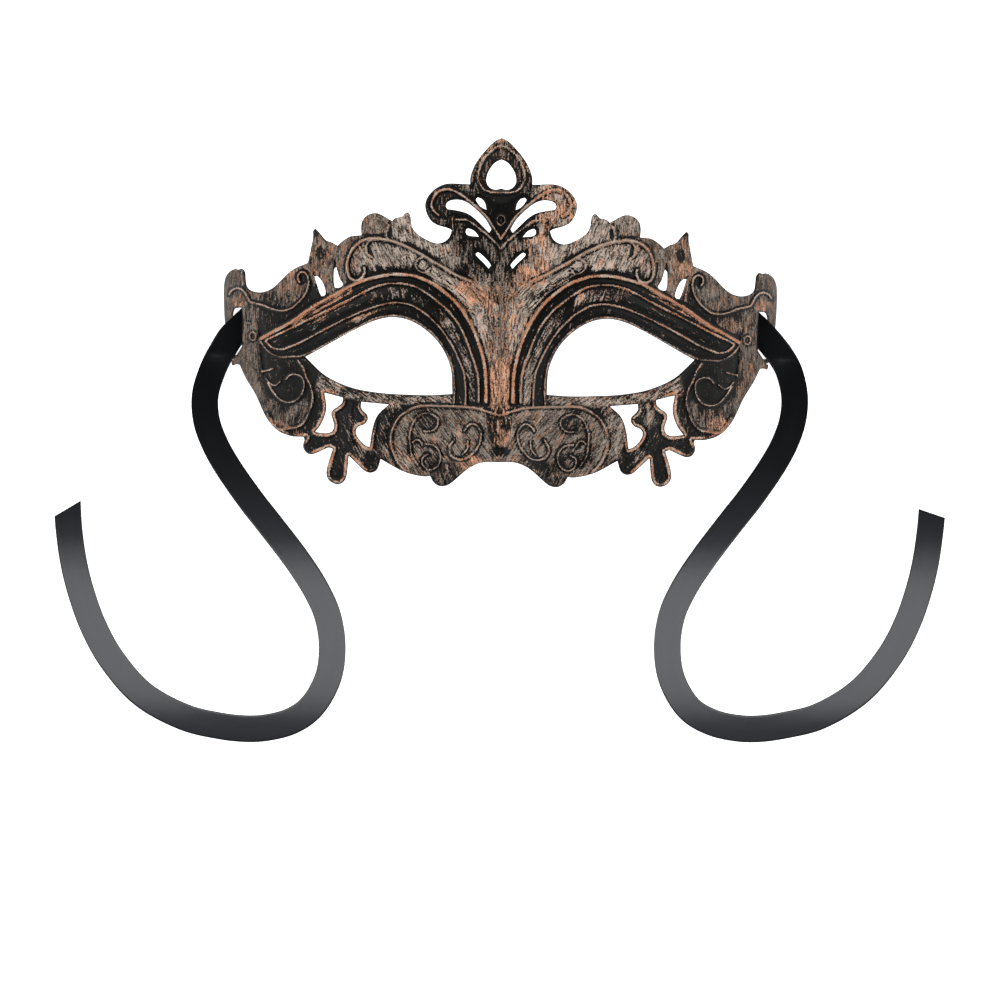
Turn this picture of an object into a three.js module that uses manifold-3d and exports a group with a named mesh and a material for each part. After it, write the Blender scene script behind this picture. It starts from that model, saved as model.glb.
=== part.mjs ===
// Venetian half mask: one thin openwork moulding that hangs over brow, eyes and nose,
// with a ribbon through a slot at each temple. It lies face up, as a loose mask does.
// Millimetres. +Z points out of the face, +Y to the crest, +X to the right of the picture.
// The origin is on the surface that the mask lies on, below the middle of its outline.
import * as THREE from 'three';
import { mergeVertices } from 'three/addons/utils/BufferGeometryUtils.js';
import Module from 'manifold-3d';

const wasm = await Module();
wasm.setup();

// Moulding
const WALL = 1.8;              // plastic thickness, square to the surface
const BROW_HEIGHT = 54.6;      // brow above the table
const SHEET_TOP = 60;          // the bent sheet, before its outline is cut
const SHEET_BOTTOM = -60;
const CUT_HEIGHT = 90;         // taller than the mask

// Sweep round the head, a quarter ellipse from the middle to each temple
const SWEEP_REACH = 100;
const SWEEP_DEPTH = 85;
const SWEEP_NARROWING = 4.5;   // the temple rims draw in below the slots
const NARROWING_TOP = 5;
const NARROWING_SPAN = 28;

// Nose, crest and cheeks
const NOSE_RISE = 17;
const NOSE_TOP = 2;
const NOSE_LENGTH = 52;
const NOSE_SPREAD = 13;
const CREST_START = 10;
const CREST_LEAN = 0.004;      // mm of fall for each mm squared above CREST_START
const CHEEK_START = -25;
const CHEEK_LEAN = 0.003;
const EYE_HOLLOW = 2;
const EYE_MIDDLE = [40, -14];
const EYE_SPREAD = [26, 16];

// Columns of the bent sheet from the middle out, how many and how wide:
// close over the nose, wide over the brows and close again where the temples turn down
const COLUMNS = [[6, 4], [5, 9.6], [5, 4.3]];
const ROWS = 11;

// Outlines become short chords: a new one after this turn, or this length
const CHORD_TURN = THREE.MathUtils.degToRad(24);
const CHORD_LENGTH = 9;
const FINE_STEP = 0.2;

// Raised lines
const RIDGE_SINK = 0.6;        // foot of a raised line below the surface
const RIDGE_LENGTH = 9;        // longest straight piece of a raised line
const RIDGE_TURN = THREE.MathUtils.degToRad(40);

// Ribbons
const RIBBON_WIDTH = 9;
const RIBBON_THICKNESS = 0.5;
const RIBBON_STEP = 10;
const SLOT_MIDDLE = 87.6;      // from the centreline to the middle of the ribbon's slot
const SLOT_DEPTH = 1.5;        // the ribbon's middle below the front of the slot
const SLOT_TILT = 0.2;         // its rise through the slot, from the inner side outwards
const FALL_START = [88.5, -14];  // out from the centreline and up: the ribbon falls beyond these
const FALL_SPAN = [14.5, 20];
const TABLE_CLEARANCE = 0.05;

// Half outline from the point of the crest to the tip of the nose, as smooth stretches
// that meet at corners. Each point is [out from the centreline, up].
const OUTLINE = [
  // drop at the top of the crest
  [[0, 58], [2, 57.1], [4, 55], [6, 52.8], [8, 50.4], [9.5, 47.6], [10.3, 45], [10.4, 42.5]],
  // crest curl, down to its neck
  [[10.4, 42.5], [13, 42.5], [16, 42.7], [19, 42.4], [21.5, 41.2], [23.6, 39.4], [25, 37], [25.3, 35],
    [24.7, 32.5], [23.5, 30.4], [21.9, 29.1], [19, 28.2], [17, 27.5], [16.4, 27]],
  // hollow beside the crest
  [[16.4, 27], [16.7, 25.7], [17.8, 24], [19.5, 23], [21.2, 22.7], [23.5, 23.3], [26, 24.6], [28.3, 26.3],
    [29.5, 28.2], [29.9, 30.2], [30.3, 32.3], [31.3, 33], [32.2, 32.5], [33, 31.5]],
  // brow leaf: small peak, round hump and end hump
  [[33, 31.5], [34.5, 31.3], [35.7, 30.7], [36.2, 30.1]],
  [[36.2, 30.1], [38, 31.2], [40, 32.3], [42, 32.7], [44, 32.2], [45.6, 31], [46.5, 29], [46.5, 27],
    [46.4, 25.3]],
  [[46.4, 25.3], [48, 25.3], [50, 24.9], [52, 23.9], [53.5, 22.6], [54.3, 21.7]],
  // finial with its leaf tip
  [[54.3, 21.7], [55.8, 22.7], [57.8, 23.3], [59.3, 24.6], [60.6, 26.3], [61.8, 27.4], [62.6, 26.6],
    [62.6, 24.5], [62.7, 22.6], [63.4, 19.8], [64.2, 16]],
  // temple edge and the ears over the ribbon slot
  [[64.2, 16], [66.5, 15.3], [69, 13.9], [71.5, 11.8], [74, 9.3], [76.2, 7.4], [78.5, 6.4], [80.5, 6.1],
    [82.5, 6.5], [84, 7.3], [84.8, 8.8], [85, 10.8], [85.2, 12.9], [86.3, 14.1], [87.3, 13.7]],
  [[87.3, 13.7], [88.4, 14], [89.7, 13.6], [91, 12.6], [92, 10.8], [92.4, 8], [92.5, 5], [92.3, 1], [91.9, -4],
    [91.4, -9], [90.8, -13], [90, -16.4], [89.3, -18.3]],
  [[89.3, -18.3], [88.2, -17.9], [86.9, -18]],
  // cheek lobe
  [[86.9, -18], [85.9, -19.6], [85.2, -21.6], [84, -24.2], [82, -27], [80, -30.8], [78.4, -34.5], [76, -38],
    [73, -40.5], [69.5, -41.8], [66, -42.1], [64.3, -42]],
  // leaf pendant: outer, lower and inner leaf
  [[64.3, -42], [65.2, -43.8], [65.2, -45.8], [64, -47.4], [62.2, -47.8], [60.3, -47.1], [58.3, -46.1],
    [56.5, -45.5], [55.4, -45.9]],
  [[55.4, -45.9], [56, -48.8], [57, -51.3], [57.5, -53.7], [57, -55.8], [55.5, -57.2], [53.6, -57.7],
    [51.9, -57.1], [50.9, -55.6], [50.4, -53], [50.2, -50.2], [50, -48.2]],
  [[50, -48.2], [47.9, -50.3], [46, -52.2], [44.3, -53.4], [42.5, -53.8], [40.9, -53.1], [39.9, -51.5],
    [39.4, -49.2]],
  // nose cartouche and nose tip
  [[39.4, -49.2], [37, -50.6], [34, -52.1], [31, -53.6], [28, -54.5], [25, -54.9], [22.9, -54.7]],
  [[22.9, -54.7], [21.9, -56.6], [19.8, -58], [17.5, -57.9], [15.3, -56.6], [12.5, -54.2], [9.5, -51.7],
    [6, -50.2], [3, -50], [0, -50]],
];

// Openings of one half, closed outlines that are mirrored to the other half
const EYE = [
  [[15.7, -27.3], [15.6, -25], [15.9, -21], [16.7, -17.5], [17.9, -14.3], [19.8, -11.2], [22, -8.6], [25, -6],
    [28, -4], [31, -2.7], [34, -2.1], [37, -2.1], [40, -2.6], [43, -3.7], [46, -5.2], [50, -7.4], [55, -10],
    [60, -12.6], [64.8, -15.3]],
  [[64.8, -15.3], [62, -18.1], [59, -20.8], [55, -23.2], [50, -25.2], [46, -26.4], [40, -27.1], [35, -27.5],
    [28, -27.7], [20, -27.7], [15.7, -27.3]],
];
const SLOT = [
  [[86.2, 1], [88.3, 0.8], [88.9, 0], [88.9, -16.2]],
  [[88.9, -16.2], [86.1, -12]],
  [[86.1, -12], [86.2, 1]],
];
const STEM_GAP_OUTER = [
  [[62.3, 12.6], [61.1, 9.3], [60.3, 6.5], [59.5, 4.9], [58.3, 5.4], [58.5, 7.8], [60, 10.7], [62.3, 12.6]],
];
const STEM_GAP_INNER = [
  [[55.3, 16.8], [54.8, 14], [53.6, 11], [52.4, 8.7], [53.6, 7.8], [55, 7.8], [55.5, 10.5], [55.8, 13.5],
    [55.3, 16.8]],
];
const CHEEK_GAP = [
  [[52.2, -28.8], [55, -28.1], [58.3, -27.2]],
  [[58.3, -27.2], [57.7, -29.6], [57.6, -32.2], [58.1, -34.8], [59.3, -37.6], [61.3, -40.3]],
  [[61.3, -40.3], [59, -40.7], [57, -40.6], [55.5, -39.9], [55, -38.2], [55.5, -36], [56, -34.2], [55.3, -32.8],
    [53.6, -31.7], [52.3, -30.4], [52.2, -28.8]],
];
const CARTOUCHE_GAP = [
  [[36.8, -31], [41, -30.7], [46, -30.2]],
  [[46, -30.2], [46.1, -32], [45.3, -33.3], [44, -34.4], [43.8, -36.2], [45, -37.7], [46.8, -38.4],
    [47.7, -39.8], [47.3, -41.6], [45.9, -43.4], [44.4, -44.7], [43.1, -45.1]],
  [[43.1, -45.1], [42.5, -43], [42.3, -40.4], [41.8, -37.3], [40.6, -34.7], [38.9, -32.6], [36.8, -31]],
];
const CREST_UPPER_SLIT = [
  [[4.9, 34], [5.1, 35.5], [5.8, 36.9], [6.8, 37.8], [7.9, 38], [8.4, 37.3], [7.8, 36.2], [6.6, 34.9],
    [4.9, 34]],
];
const CREST_CRESCENT = [
  [[3.9, 26.4], [3.2, 27.3], [4.4, 29.6], [7.1, 33.1], [10, 35.5], [12.9, 37], [15.4, 37.2],
    [17.5, 36.6], [18.4, 35.3], [17.9, 34.2], [15.8, 33.9], [12.9, 33.4], [10, 32.1], [7.4, 30],
    [5.1, 27.3], [3.9, 26.4]],
];
const CREST_SMALL_HOLE = [
  [[7.3, 25], [8.2, 26.3], [9.6, 27.3], [11.1, 27.7], [11.7, 26.8], [11.3, 25.7], [9.4, 25.1], [7.3, 25]],
];
const CREST_LOWER_SLIT = [
  [[2.6, 14.3], [3.1, 15.5], [4.6, 17.3], [6.2, 19], [7.6, 19.8], [8.3, 19.3], [7.6, 18.1], [5.6, 16.3],
    [3.9, 14.4], [2.6, 14.3]],
];
const SIDE_OPENINGS = [
  EYE, SLOT, STEM_GAP_OUTER, STEM_GAP_INNER, CHEEK_GAP, CARTOUCHE_GAP,
  CREST_UPPER_SLIT, CREST_CRESCENT, CREST_SMALL_HOLE, CREST_LOWER_SLIT,
];

// Openings on the centreline, as half outlines from the top down
const DROP_OPENING = [
  [[0, 50.7], [1.8, 49.9], [3.2, 48.3], [4.3, 46.6], [4.9, 44.6], [4.8, 42.9], [4, 41.6], [2.8, 40.9],
    [1.2, 40.8], [0, 41.2]],
];
const BOSS_OPENING = [[[0, 31.3], [0.35, 30.9], [0.35, 30.3], [0, 29.9]]];
const CENTRE_OPENINGS = [DROP_OPENING, BOSS_OPENING];

// Raised lines of one half: width at the foot, height, and the points that they follow
const RIDGES = {
  bandOuter: { width: 3.6, height: 1, points: [
    [5.6, -30], [5.8, -22], [6.7, -17], [9, -10], [12.6, -3], [17.8, 3.2], [23.5, 7.6], [30, 10.4],
    [37.5, 10.6], [46, 8.1], [55, 3.7], [65, -1.9], [73, -6.2], [79.5, -9.7]] },
  bandInner: { width: 1.8, height: 1, points: [
    [11.2, -31], [11.5, -24], [13.2, -17], [17, -9.5], [22, -3.3], [27, 0.7], [33, 2.8], [40, 2],
    [50, -1.9], [60, -7], [70, -12], [74, -12.7], [77, -11.3], [78.6, -9.6]] },
  eyeLip: { width: 1.4, height: 0.8, points: [
    [14.9, -30], [14.9, -24], [15.9, -17.4], [19.1, -10.8], [24.5, -5.4], [30.8, -1.9], [35.5, -1.3],
    [40.2, -1.9], [46.4, -4.5], [55, -9.2], [66, -15], [70, -15.3], [74.5, -15.1], [78, -12.8], [80.2, -9.6]] },
  browLeaf: { width: 1.7, height: 1.1, points: [
    [10.5, 10], [15, 12.6], [20, 15.2], [26, 18.8], [34, 22.6], [42, 24.1], [47.5, 22.5], [50.6, 18],
    [50.9, 13], [48.5, 10.2]] },
  browLoop: { width: 1.3, height: 0.8, points: [
    [26, 18.6], [28.6, 17.3], [29, 14.8], [27.3, 13.2], [24.6, 13.4], [20, 10.9], [15, 8.4]] },
  crestRing: { width: 1.4, height: 0.9, points: [
    [0, 55], [4, 53], [6.6, 49.6], [7.8, 45.5], [6.8, 42.1], [3.8, 39.9], [0, 40]] },
  crestCurl: { width: 1.7, height: 1, points: [
    [0, 24.3], [4.2, 30.8], [9.3, 35.9], [13.6, 39.1], [17.6, 40.7], [20.8, 39.9], [23, 37],
    [22.4, 33.6], [20.4, 31.8]] },
  crestVee: { width: 1.4, height: 0.9, points: [[0, 21.1], [5.6, 26.5], [11.4, 30.5], [15.4, 30.6]] },
  crestSide: { width: 1.2, height: 0.8, points: [[16, 31.5], [16, 26.5], [15, 21], [15.2, 15.5]] },
  templeScroll: { width: 1.7, height: 1.1, points: [
    [66.8, 9.2], [67.4, 11.4], [65.6, 12.6], [64.2, 10.8], [64.9, 5.6], [67.5, 2.5], [71.5, 0.2], [76, 0.6],
    [82.5, 2.6], [84.5, 4.8], [87.4, 7.5], [90.3, 6.2]] },
  slotEdge: { width: 1.4, height: 0.8, points: [[84.9, 3], [85.1, -4], [84.9, -12], [84, -19]] },
  cheekRim: { width: 1.5, height: 0.9, points: [
    [67.6, -16.6], [65, -20.5], [63, -25], [62.4, -29.5], [63.6, -34.5], [66.5, -38.2], [70.5, -39.3],
    [74, -38.6], [78, -32]] },
  cheekSpiral: { width: 1.3, height: 0.9, points: [
    [71.3, -24.5], [70.6, -21.9], [68, -21.2], [65.4, -23.6], [65.8, -27.5], [68.3, -30.1], [72, -30.2],
    [75.3, -27.3], [78, -23]] },
  cartoucheRim: { width: 1.5, height: 0.9, points: [
    [0, -34.2], [4.5, -32.8], [12, -31.4], [22, -31.1], [29, -32.2], [33.2, -35], [35.8, -39.5],
    [35.8, -45.5], [33.5, -50.3], [30, -53.2]] },
  outerSpiral: { width: 1.4, height: 0.9, points: [
    [25, -39.7], [22, -39.4], [20.3, -37], [21.6, -34.5], [25, -33.9], [28, -36], [29.6, -40], [29.6, -46],
    [27, -51], [23.3, -52.9], [20, -51], [19.6, -47.4]] },
  innerSpiral: { width: 1.4, height: 0.9, points: [
    [11.6, -39.5], [9.6, -37.4], [7.2, -38], [6, -41], [6.9, -44.8], [10, -48.2], [14, -48.9], [16.5, -46.4],
    [15, -42.5]] },
};

// Leaf ribs on the pendants, raised lines too
const PENDANT_RIBS = [
  { width: 1.5, height: 0.9, points: [[49.2, -30.5], [49.6, -38], [51.6, -46], [54, -55.6]] },
  { width: 1.3, height: 0.8, points: [[50.4, -41.5], [54, -43.5], [59, -43.2], [63.5, -45.6]] },
  { width: 1.3, height: 0.8, points: [[50, -42.5], [47.8, -46.5], [44.8, -49.8], [42.2, -52]] },
];

// Route of each ribbon in plan, from its tail inside the mask, through the slot and over the
// temple, to its cut end. The cut is given by its two corners, inner one first.
const LEFT_RIBBON = {
  side: -1,
  route: [
    [81.6, -0.9], [84.1, -3.3], [86.8, -5.9], [89.7, -8.6], [92.6, -13.2], [95.7, -19.3],
    [98.3, -28.2], [97.8, -36.7], [95, -44.4], [90.9, -51.7], [83, -62.9], [76.4, -71.2], [67, -83.3],
    [60.7, -93], [56.8, -101.7], [55.2, -111.9], [56.5, -122.3], [61.9, -132], [68.3, -136.7],
    [76.9, -139.1], [84.5, -139.5], [94, -138.4], [104.2, -135.9], [118.4, -128.3], [129.1, -116.3],
    [135.1, -105.5], [139, -95.1],
    [141.6, -85.3], [143.4, -73.7], [144.2, -62],
  ],
  cut: [[139.6, -63.8], [148.2, -69]],
};
const RIGHT_RIBBON = {
  side: 1,
  route: [
    [81.6, -0.9], [84.1, -3.2], [86.8, -5.7], [89.5, -8.4], [92, -11.3], [94.2, -14.3], [96.6, -18.7],
    [98.5, -26.9], [98, -34.8], [95.6, -42.2], [91.8, -49.5], [84.2, -60.8], [77.7, -69.2],
    [68.5, -81.5], [62.2, -91.3], [58.2, -100.3],
    [56.7, -111], [58.3, -121.8], [64.2, -131.6], [71.5, -136], [80.3, -138], [88, -138.1], [97, -136.7],
    [107.4, -133.9], [121, -125.5], [131.1, -113.4], [136.7, -102.7], [140.3, -92.3], [142.6, -82.7],
    [144.2, -71.2], [145, -61],
  ],
  cut: [[140.4, -64.3], [149.1, -67.2]],
};

function smoothStep(t) {
  return THREE.MathUtils.smoothstep(t, 0, 1);
}

// Height of the front of the mask over the table
function formHeight(x, y) {
  const reach = SWEEP_REACH - SWEEP_NARROWING * smoothStep((NARROWING_TOP - y) / NARROWING_SPAN);
  const sweep = SWEEP_DEPTH * (1 - Math.sqrt(1 - (x / reach) ** 2));
  const nose = NOSE_RISE * smoothStep((NOSE_TOP - y) / NOSE_LENGTH) * Math.exp(-((x / NOSE_SPREAD) ** 2));
  const crest = CREST_LEAN * Math.max(0, y - CREST_START) ** 2;
  const cheek = CHEEK_LEAN * Math.max(0, CHEEK_START - y) ** 2;
  const eyeAcross = (Math.abs(x) - EYE_MIDDLE[0]) / EYE_SPREAD[0];
  const eyeUp = (y - EYE_MIDDLE[1]) / EYE_SPREAD[1];
  const hollow = EYE_HOLLOW * Math.exp(-(eyeAcross ** 2) - eyeUp ** 2);
  return BROW_HEIGHT - sweep + nose - crest - cheek - hollow;
}

// Height of the wall's inner face, WALL behind the front and square to it
function innerHeight(x, y) {
  const step = 0.1;
  const acrossSlope = (formHeight(x + step, y) - formHeight(x - step, y)) / (2 * step);
  const upSlope = (formHeight(x, y + step) - formHeight(x, y - step)) / (2 * step);
  return formHeight(x, y) - WALL * Math.sqrt(1 + acrossSlope ** 2 + upSlope ** 2);
}

// A closed geometry as a solid, with its faces turned outwards
function toSolid(geometry) {
  const bare = geometry.clone();
  bare.deleteAttribute('normal');
  bare.deleteAttribute('uv');
  const merged = mergeVertices(bare, 1e-4);
  const places = merged.attributes.position;
  const order = Uint32Array.from(merged.index.array);
  const corner = (index) => new THREE.Vector3().fromBufferAttribute(places, index);
  let volume = 0;
  for (let i = 0; i < order.length; i += 3) {
    volume += corner(order[i]).dot(corner(order[i + 1]).cross(corner(order[i + 2])));
  }
  if (volume < 0) {
    for (let i = 0; i < order.length; i += 3) {
      [order[i + 1], order[i + 2]] = [order[i + 2], order[i + 1]];
    }
  }
  const mesh = new wasm.Mesh({
    numProp: 3,
    vertProperties: Float32Array.from(places.array),
    triVerts: order,
  });
  return new wasm.Manifold(mesh);
}

// A solid as a geometry with flat facets
function toGeometry(solid) {
  const mesh = solid.getMesh();
  const geometry = new THREE.BufferGeometry();
  geometry.setAttribute('position', new THREE.BufferAttribute(Float32Array.from(mesh.vertProperties), 3));
  geometry.setIndex(new THREE.BufferAttribute(Uint32Array.from(mesh.triVerts), 1));
  const faceted = geometry.toNonIndexed();
  faceted.computeVertexNormals();
  return faceted;
}

// Moves every vertex of a geometry with a function of its place
function reshape(geometry, move) {
  const places = geometry.attributes.position;
  const place = new THREE.Vector3();
  for (let i = 0; i < places.count; i += 1) {
    place.fromBufferAttribute(places, i);
    move(place);
    places.setXYZ(i, place.x, place.y, place.z);
  }
  return geometry;
}

function mirrored(geometry) {
  return reshape(geometry.clone(), (place) => {
    place.x = -place.x;
  });
}

// One smooth stretch of an outline as chords, short where it turns
function chords(points) {
  const places = points.map(([out, up]) => new THREE.Vector3(out, up, 0));
  const curve = new THREE.CatmullRomCurve3(places, false, 'centripetal');
  const fine = curve.getSpacedPoints(Math.ceil(curve.getLength() / FINE_STEP));
  const kept = [fine[0]];
  let turned = 0;
  for (let i = 1; i < fine.length - 1; i += 1) {
    const before = fine[i].clone().sub(fine[i - 1]);
    const after = fine[i + 1].clone().sub(fine[i]);
    turned += before.angleTo(after);
    if (turned > CHORD_TURN || fine[i].distanceTo(kept[kept.length - 1]) > CHORD_LENGTH) {
      kept.push(fine[i]);
      turned = 0;
    }
  }
  kept.push(fine[fine.length - 1]);
  return kept.map((place) => new THREE.Vector2(place.x, place.y));
}

// Stretches joined end to end, with the shared corners kept once
function joined(stretches) {
  const line = [];
  for (const stretch of stretches) {
    line.push(...chords(stretch).slice(line.length ? 1 : 0));
  }
  return line;
}

function mirroredLine(line) {
  return line.map((point) => new THREE.Vector2(-point.x, point.y));
}

// A half outline from the top down, closed by its mirror image
function wholeOutline(stretches) {
  const half = joined(stretches);
  return [...half, ...mirroredLine(half.slice(1, -1)).reverse()];
}

// Place of a column line, counted from the middle
function columnPlace(count) {
  let left = count;
  let place = 0;
  for (const [columns, width] of COLUMNS) {
    place += Math.min(left, columns) * width;
    left = Math.max(0, left - columns);
  }
  return place;
}

// The sheet, bent from a flat slab to the form of a face
function bentSheet() {
  const half = COLUMNS.reduce((sum, [columns]) => sum + columns, 0);
  const slab = new THREE.BoxGeometry(2 * half, SHEET_TOP - SHEET_BOTTOM, 2, 2 * half, ROWS, 1);
  reshape(slab, (place) => {
    const front = place.z > 0;
    place.x = Math.sign(place.x) * columnPlace(Math.round(Math.abs(place.x)));
    place.y += (SHEET_TOP + SHEET_BOTTOM) / 2;
    place.z = front ? formHeight(place.x, place.y) : innerHeight(place.x, place.y);
  });
  return toSolid(slab);
}

// An upright block of a closed outline, taller than the mask
function uprightBlock(line) {
  return toSolid(new THREE.ExtrudeGeometry(new THREE.Shape(line), { depth: CUT_HEIGHT, bevelEnabled: false }));
}

// The outline with its openings, as an upright block that cuts the sheet.
// Its underside is the table, so the temple rims are cut flat to rest on.
function outlineBlock() {
  let block = uprightBlock(wholeOutline(OUTLINE));
  for (const opening of SIDE_OPENINGS) {
    const line = joined(opening).slice(0, -1);
    block = block.subtract(uprightBlock(line)).subtract(uprightBlock(mirroredLine(line)));
  }
  for (const opening of CENTRE_OPENINGS) {
    block = block.subtract(uprightBlock(wholeOutline(opening)));
  }
  return block;
}

// How far a flat curve turns from end to end
function totalTurn(curve) {
  const tangents = Array.from({ length: 60 }, (_, i) => curve.getTangentAt(i / 59));
  return tangents.slice(1).reduce((sum, tangent, i) => sum + tangent.angleTo(tangents[i]), 0);
}

// A raised line: a three-sided bar along the flat curve, laid over the form
function ridgeGeometry({ width, height, points }) {
  const places = points.map(([out, up]) => new THREE.Vector3(out, up, 0));
  const curve = new THREE.CatmullRomCurve3(places, false, 'centripetal');
  const section = new THREE.Shape([
    new THREE.Vector2(-height, 0),
    new THREE.Vector2(RIDGE_SINK, -width / 2),
    new THREE.Vector2(RIDGE_SINK, width / 2),
  ]);
  const steps = Math.ceil(Math.max(curve.getLength() / RIDGE_LENGTH, totalTurn(curve) / RIDGE_TURN));
  const bar = new THREE.ExtrudeGeometry(section, { steps, extrudePath: curve });
  return reshape(bar, (place) => {
    place.z += formHeight(place.x, place.y);
  });
}

function makeMask(material) {
  let solid = bentSheet();
  for (const ridge of [...Object.values(RIDGES), ...PENDANT_RIBS]) {
    const bar = ridgeGeometry(ridge);
    solid = solid.add(toSolid(bar)).add(toSolid(mirrored(bar)));
  }
  const mask = new THREE.Mesh(toGeometry(solid.intersect(outlineBlock())), material);
  mask.name = 'mask';
  return mask;
}

// Height of the ribbon's middle: level with the slot at the temple, then down to the table
function ribbonHeight(x, y) {
  const table = RIBBON_THICKNESS / 2 + TABLE_CLEARANCE;
  const slot = formHeight(SLOT_MIDDLE, y) - SLOT_DEPTH + SLOT_TILT * (Math.abs(x) - SLOT_MIDDLE);
  const across = (Math.abs(x) - FALL_START[0]) / FALL_SPAN[0];
  const down = Math.max(0, FALL_START[1] - y) / FALL_SPAN[1];
  const fall = smoothStep(across + down);
  return slot + (table - slot) * fall;
}

// A ribbon: a flat section along the route in plan, lifted to its height, cut at the end
function makeRibbon(name, { side, route, cut }, material) {
  const places = route.map(([out, up]) => new THREE.Vector3(side * out, up, 0));
  const curve = new THREE.CatmullRomCurve3(places, false, 'centripetal');
  const half = RIBBON_WIDTH / 2;
  const thick = RIBBON_THICKNESS / 2;
  const edge = thick / 2;
  const section = new THREE.Shape([
    new THREE.Vector2(-thick, -half + thick),
    new THREE.Vector2(-edge, -half),
    new THREE.Vector2(edge, -half),
    new THREE.Vector2(thick, -half + thick),
    new THREE.Vector2(thick, half - thick),
    new THREE.Vector2(edge, half),
    new THREE.Vector2(-edge, half),
    new THREE.Vector2(-thick, half - thick),
  ]);
  const steps = Math.round(curve.getLength() / RIBBON_STEP);
  const strip = new THREE.ExtrudeGeometry(section, { steps, extrudePath: curve });
  reshape(strip, (place) => {
    place.z += ribbonHeight(place.x, place.y);
  });
  const ribbon = new THREE.Mesh(toGeometry(toSolid(strip).subtract(endCutter(side, cut))), material);
  ribbon.name = name;
  return ribbon;
}

// The waste beyond the scissor cut: a block whose lower side lies on the cut
function endCutter(side, [inner, outer]) {
  const reach = 20;
  const from = new THREE.Vector2(side * inner[0], inner[1]);
  const to = new THREE.Vector2(side * outer[0], outer[1]);
  const along = to.clone().sub(from).normalize().multiplyScalar(reach / 2);
  const up = new THREE.Vector2(0, reach);
  const left = from.clone().sub(along);
  const right = to.clone().add(along);
  const shape = new THREE.Shape([left, right, right.clone().add(up), left.clone().add(up)]);
  const block = new THREE.ExtrudeGeometry(shape, { depth: reach, bevelEnabled: false });
  return toSolid(block.translate(0, 0, -reach / 2));
}

const plastic = new THREE.MeshStandardMaterial({ color: 0x4a3f3a, roughness: 0.55, metalness: 0.1 });
const satin = new THREE.MeshStandardMaterial({ color: 0x17181a, roughness: 0.45, metalness: 0 });

const venetianMask = new THREE.Group();
venetianMask.add(makeMask(plastic));
venetianMask.add(makeRibbon('ribbon_left', LEFT_RIBBON, satin));
venetianMask.add(makeRibbon('ribbon_right', RIGHT_RIBBON, satin));

export default venetianMask;
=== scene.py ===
# %% [markdown]
# A venetian half mask is moulded in thin black plastic, with ribbed scrolls and leaves that are rubbed
# with copper paint, and a satin ribbon comes out of a slot at each temple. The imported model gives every
# size, so the frame is loaded first, and the finer surfaces are modelled inside it.

# %% Load the frame
import math

import bmesh
import bpy
import numpy as np
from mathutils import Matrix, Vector, kdtree


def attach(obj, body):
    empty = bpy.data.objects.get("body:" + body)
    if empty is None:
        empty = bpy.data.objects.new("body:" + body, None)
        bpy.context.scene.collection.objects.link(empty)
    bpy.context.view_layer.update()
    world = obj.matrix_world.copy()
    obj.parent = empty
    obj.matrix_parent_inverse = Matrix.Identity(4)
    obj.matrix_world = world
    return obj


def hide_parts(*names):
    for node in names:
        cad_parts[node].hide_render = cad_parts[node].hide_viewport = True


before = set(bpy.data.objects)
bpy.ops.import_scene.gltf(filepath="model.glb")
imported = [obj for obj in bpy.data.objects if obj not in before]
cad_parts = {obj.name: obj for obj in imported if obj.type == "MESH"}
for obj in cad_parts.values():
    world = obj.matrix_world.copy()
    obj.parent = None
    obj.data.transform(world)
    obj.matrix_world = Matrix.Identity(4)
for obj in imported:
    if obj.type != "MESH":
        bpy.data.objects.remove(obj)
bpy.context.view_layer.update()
MM = 0.001
print("frame nodes:", sorted(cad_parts))

# %% [markdown]
# The mask lies face up, and the camera looks straight down on it from far away, as a picture taken
# with a long lens does. A long lens keeps the high brow and the low temples at nearly one scale.

# %% Camera
PICTURE_WIDTH = 333.3          # mm of table across the picture
PICTURE_MIDDLE = (0.43, -62.46)
PICTURE_TURN = 0.47            # degrees that the mask is turned in the picture
LENS = 1200
SENSOR = 36
MIDDLE_HEIGHT = 22             # mm, the height that is shown at true scale

camera_data = bpy.data.cameras.new("camera")
camera_data.lens = LENS
camera_data.sensor_width = SENSOR
camera_data.clip_start = 0.1
camera_data.clip_end = 100
camera = bpy.data.objects.new("camera", camera_data)
bpy.context.scene.collection.objects.link(camera)
camera_height = PICTURE_WIDTH * LENS / SENSOR + MIDDLE_HEIGHT
camera.location = (PICTURE_MIDDLE[0] * MM, PICTURE_MIDDLE[1] * MM, camera_height * MM)
camera.rotation_euler = (0, 0, math.radians(PICTURE_TURN))
bpy.context.scene.camera = camera
print("camera height in metres:", round(camera_height * MM, 2))

# %% [markdown]
# Every smooth line of the mask and the ribbons is one kind of curve: it passes through a few chosen
# points and bends evenly between them. One helper draws it, and gives points at an even spacing.

# %% Smooth lines
FINE_PARTS = 24                # a line is worked out this finely between two given points


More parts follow.
